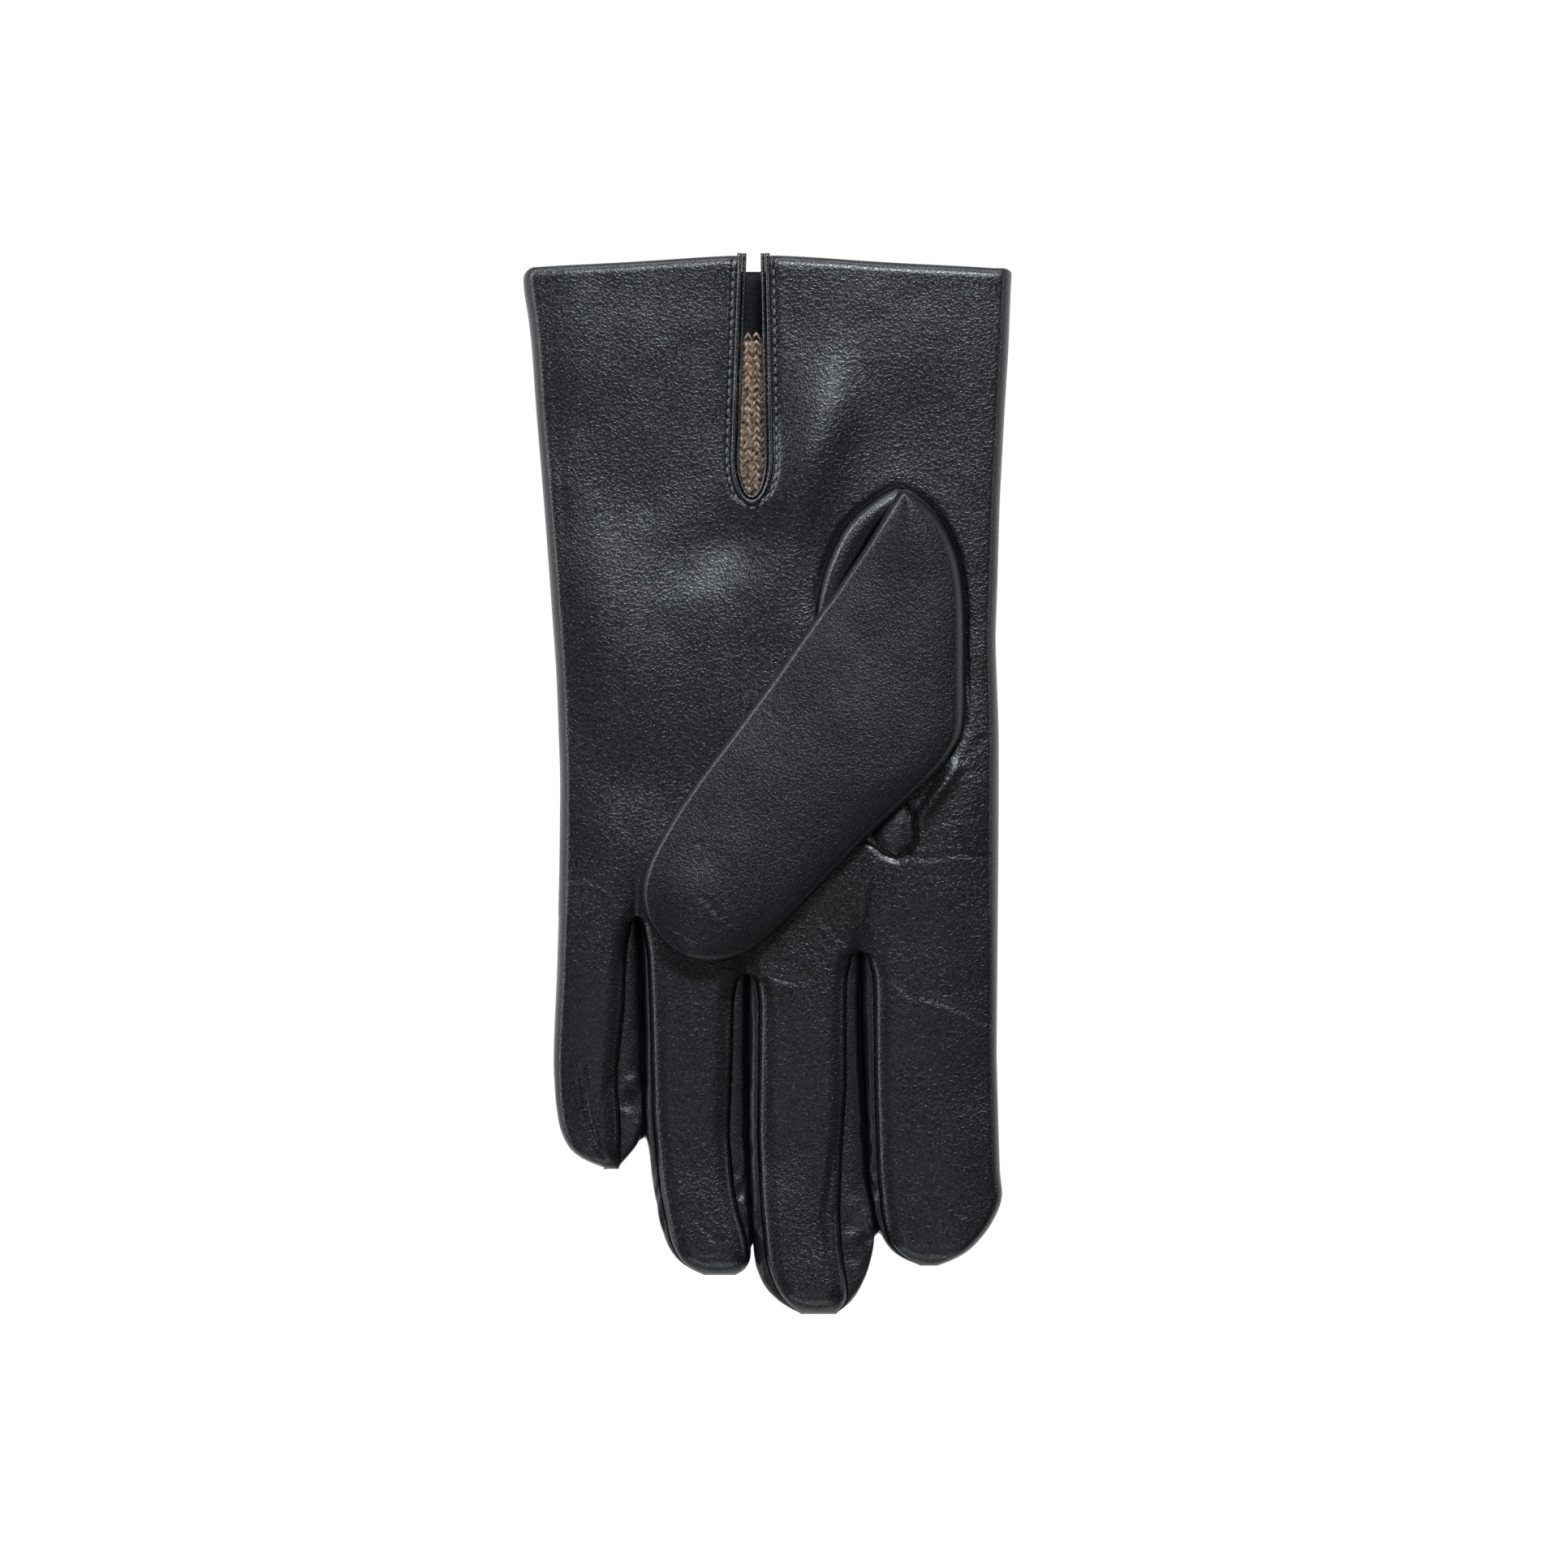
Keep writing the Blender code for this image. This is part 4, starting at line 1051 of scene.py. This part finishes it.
def thumb_grid(upper=True):
    """x, y, z and flat plan coordinates of the thumb's upper or under leather."""
    a, b = THUMB_LEFT[:, None, :], THUMB_RIGHT[:, None, :]
    # columns crowd towards both edges
    u = np.linspace(0.0, 1.0, 64)
    s = 0.55 * (1.0 - np.cos(np.pi * u)) / 2.0 + 0.45 * u
    p = a + (b - a) * s[None, :, None]
    x, y = p[..., 0], p[..., 1]
    s = s[None, :]
    width = np.linalg.norm(THUMB_RIGHT - THUMB_LEFT, axis=1)[:, None]
    left, right = s * width, (1.0 - s) * width
    at = np.linspace(0.0, 1.0, len(THUMB_LEFT))[:, None] * THUMB_LENGTH
    # the lower part of the thumb is free of the palm
    free = smoothstep((at - 46.0) / 22.0)
    fold = 13.1 + 3.4 * free
    fold = fold + (16.2 - fold) * smoothstep((0.5 - s) / 0.5)
    if upper:
        edge = rounded(left, 1.5) * rounded(right, 2.3 - 0.4 * free)
        edge = edge * rounded(at, 1.8) * rounded(THUMB_LENGTH - at, 2.8)
        tall = 7.0 + 0.9 * smoothstep((at - 30.0) / 90.0)
        puff = 0.9 * np.sin(np.pi * np.clip(s, 0, 1)) ** 1.2
        puff = puff - 0.9 * (1.0 - np.clip(np.minimum(left, right) / 9.0, 0.0, 1.0)) ** 2
        relief = 0.35 * noise(x, y, 22.0, 11) + 0.1 * noise(x, y, 8.0, 12)
        relief = relief + hill(x, y, 26.0, 40.0, 9.0, 22.0, -0.7, -20.0)
        relief = relief + hill(x, y, -17.0, -28.0, 9.0, 9.0, 0.5)
        for points, wide, depth in THUMB_CREASES:
            relief = relief + groove(x, y, points, 0.5 * wide, 0.8 * depth)
        z = fold + (12.6 + tall + puff + relief - fold) * edge
    else:
        edge = rounded(left, 3.0) * (1.0 - free + free * rounded(right, 3.0)) * rounded(THUMB_LENGTH - at, 3.6)
        z = fold - (fold - 12.75) * edge
    out = (a - b) / np.maximum(width[..., None], 1.0)
    drop = 7.0 * (1.0 - edge) * np.where(s < 0.5, 1.0, -1.0)
    return x, y, z, (x + out[..., 0] * drop, y + out[..., 1] * drop)


def build_seam_shade_lines():
    """A cord closing the bottom of each seam round the thumb; its dark colour is painted shade."""
    for name, points in (("thumb", THUMB_SEAM), ("base", BASE_SEAM), ("quirk", QUIRK_SEAM)):
        line = path(points, 160, 0.6)
        height = palm_height(line[:, 0], line[:, 1]) + 0.35
        # painted shade: a dark cord in each seam's groove
        ob = tube(name + "_seam_line", np.column_stack((line, height)), 0.33, SHADE_LEATHER, 8)
        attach(ob, "hand")


def build_thumb():
    """The thumb's upper and under leather and its lining, with the opening into the hand."""
    x, y, z, flat = thumb_grid(True)
    upper = grid_object("thumb_upper_leather", x, y, z, SMOOTH, uv=flat)
    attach(upper, "thumb")
    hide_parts("thumb_upper_panel")

    def opening(x, y, z):
        return (in_thumb_hole(x, y) < 1.0) & (z < 15.0)

    low_x, low_y, low_z, flat = thumb_grid(False)
    under = grid_object("thumb_under_leather", low_x, low_y, low_z, SMOOTH, flip=True, uv=flat, drop=opening)
    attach(under, "thumb")
    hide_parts("thumb_under_panel")
    inner = (slice(14, -8, 3), slice(9, -9, 3))
    x, y, z = x[inner], y[inner], z[inner]
    there_and_back = ((x, x[:, ::-1]), (y, y[:, ::-1]), (np.maximum(z - 2.0, 14.8), np.full_like(z, 14.3)))
    rows = [np.concatenate(pair, axis=1) for pair in there_and_back]
    sock = grid_object("thumb_sock", *rows, KNIT, closed=True, drop=opening)
    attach(sock, "thumb")
    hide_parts("thumb_lining")


def strip_between(left, right, share):
    """(x, y) grids across from one line to another."""
    p = left[:, None] + (right - left)[:, None] * share[None, :, None]
    return p[..., 0], p[..., 1]


def build_crescent():
    """The crescent of leather that shows left of the thumb's root."""
    left = path(CRESCENT_OUTER, 60, 1.5)
    right = path(CRESCENT_INNER, 60)
    s = np.linspace(0.0, 1.0, 26)
    x, y = strip_between(left, right, s**1.4)
    inward = s[None, :] ** 1.4 * np.linalg.norm(right - left, axis=1)[:, None]
    ends = np.sin(np.pi * np.linspace(0.0, 1.0, 60))[:, None] ** 0.5
    z = 11.2 + (1.0 + 2.3 * ends) * rounded(inward, 2.2) - 0.9 * smoothstep((inward - 2.5) / 4.0)
    z = z - 3.6 * smoothstep((s[None, :] - 0.72) / 0.24)
    crescent = grid_object("thumb_base_leather", x, y, z, FINE)
    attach(crescent, "hand")
    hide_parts("thumb_base_fold")


def build_quirk():
    """The small puffed gusset below the thumb."""
    s = np.linspace(0.0, 1.0, 20)
    x, y = strip_between(path(QUIRK_LEFT, 40, 0.8), path(QUIRK_RIGHT, 40, 0.8), s)
    along = np.linspace(0.03, 0.97, 40)[:, None]
    pillow = (np.sin(np.pi * s)[None, :] ** 0.45) * (np.sin(np.pi * along) ** 0.4)
    z = np.minimum(palm_height(x, y) - 0.5 + 1.5 * pillow + 0.12 * noise(x, y, 1.8, 31), 13.3)
    quirk = grid_object("quirk_leather", x, y, z, FINE)
    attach(quirk, "hand")
    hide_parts("thumb_quirk")


# ---------------------------------------------------------------- build everything
build_palm()
for finger in FINGERS:
    build_finger(finger)
build_back()
build_hem()
build_lining()
build_slit()
build_seam_shade_lines()
build_thumb()
build_crescent()
build_quirk()

# ---------------------------------------------------------------- white ground, lights, camera
white = bpy.data.materials.new("white_ground")
white.use_nodes = True
tree = white.node_tree
tree.nodes.remove(tree.nodes["Principled BSDF"])
glow = node(tree, "Emission", {"Color": (1, 1, 1, 1), "Strength": 1.0})
tree.links.new(glow.outputs["Emission"], tree.nodes["Material Output"].inputs["Surface"])
plane = bpy.data.meshes.new("ground")
plane.from_pydata([(x, y, -0.0006) for x, y in ((-3, -3), (3, -3), (3, 3), (-3, 3))], [], [(0, 1, 2, 3)])
plane.materials.append(white)
ground = bpy.data.objects.new("ground", plane)
bpy.context.scene.collection.objects.link(ground)


def softbox(name, place, aim, width, height, power):
    """A rectangular light in metres and watts, turned towards the point (x, y) of the table."""
    light = bpy.data.lights.new(name, "AREA")
    light.energy = power
    light.shape = "RECTANGLE"
    light.size, light.size_y = width, height
    light.color = (0.885, 0.935, 1.0)
    ob = bpy.data.objects.new(name, light)
    ob.location = place
    ob.rotation_euler = (Vector((*aim, 0.0)) - Vector(place)).to_track_quat("-Z", "Y").to_euler()
    bpy.context.scene.collection.objects.link(ob)


softbox("cuff_box", (0.22, 0.98, 1.70), (0.0, 0.0), 0.50, 0.36, 31.0)
softbox("corner_box", (-0.62, 0.55, 0.48), (0.0, 0.02), 0.7, 0.12, 8.0)
softbox("left_box", (-0.80, 0.05, 0.26), (0.0, 0.02), 0.8, 0.16, 2.6)
softbox("right_box", (0.80, 0.30, 0.35), (0.0, 0.02), 0.8, 0.16, 1.6)
softbox("far_box", (0.0, 0.95, 0.36), (0.0, 0.0), 0.8, 0.16, 4.0)
softbox("finger_box", (-0.15, -0.75, 1.70), (0.0, -0.08), 0.45, 0.35, 1.7)
softbox("low_box", (-0.1, -0.85, 0.45), (0.0, -0.05), 0.8, 0.20, 1.7)

scene = bpy.context.scene
world = scene.world or bpy.data.worlds.new("World")
scene.world = world
world.use_nodes = True
sky = world.node_tree.nodes.get("Background") or world.node_tree.nodes.new("ShaderNodeBackground")
sky.inputs["Color"].default_value = (1, 1, 1, 1)
sky.inputs["Strength"].default_value = 0.075

# the camera looks straight down; 0.369 m of the table fills the picture
distance, view_width, sensor = 2.2, 0.369, 36.0
camera_data = bpy.data.cameras.new("camera")
camera_data.sensor_width = sensor
camera_data.lens = sensor * distance / view_width
camera = bpy.data.objects.new("camera", camera_data)
camera.location = (0.0036, 0.0, distance + 0.008)
scene.collection.objects.link(camera)
scene.camera = camera
scene.view_settings.view_transform = "Standard"
scene.view_settings.look = "None"
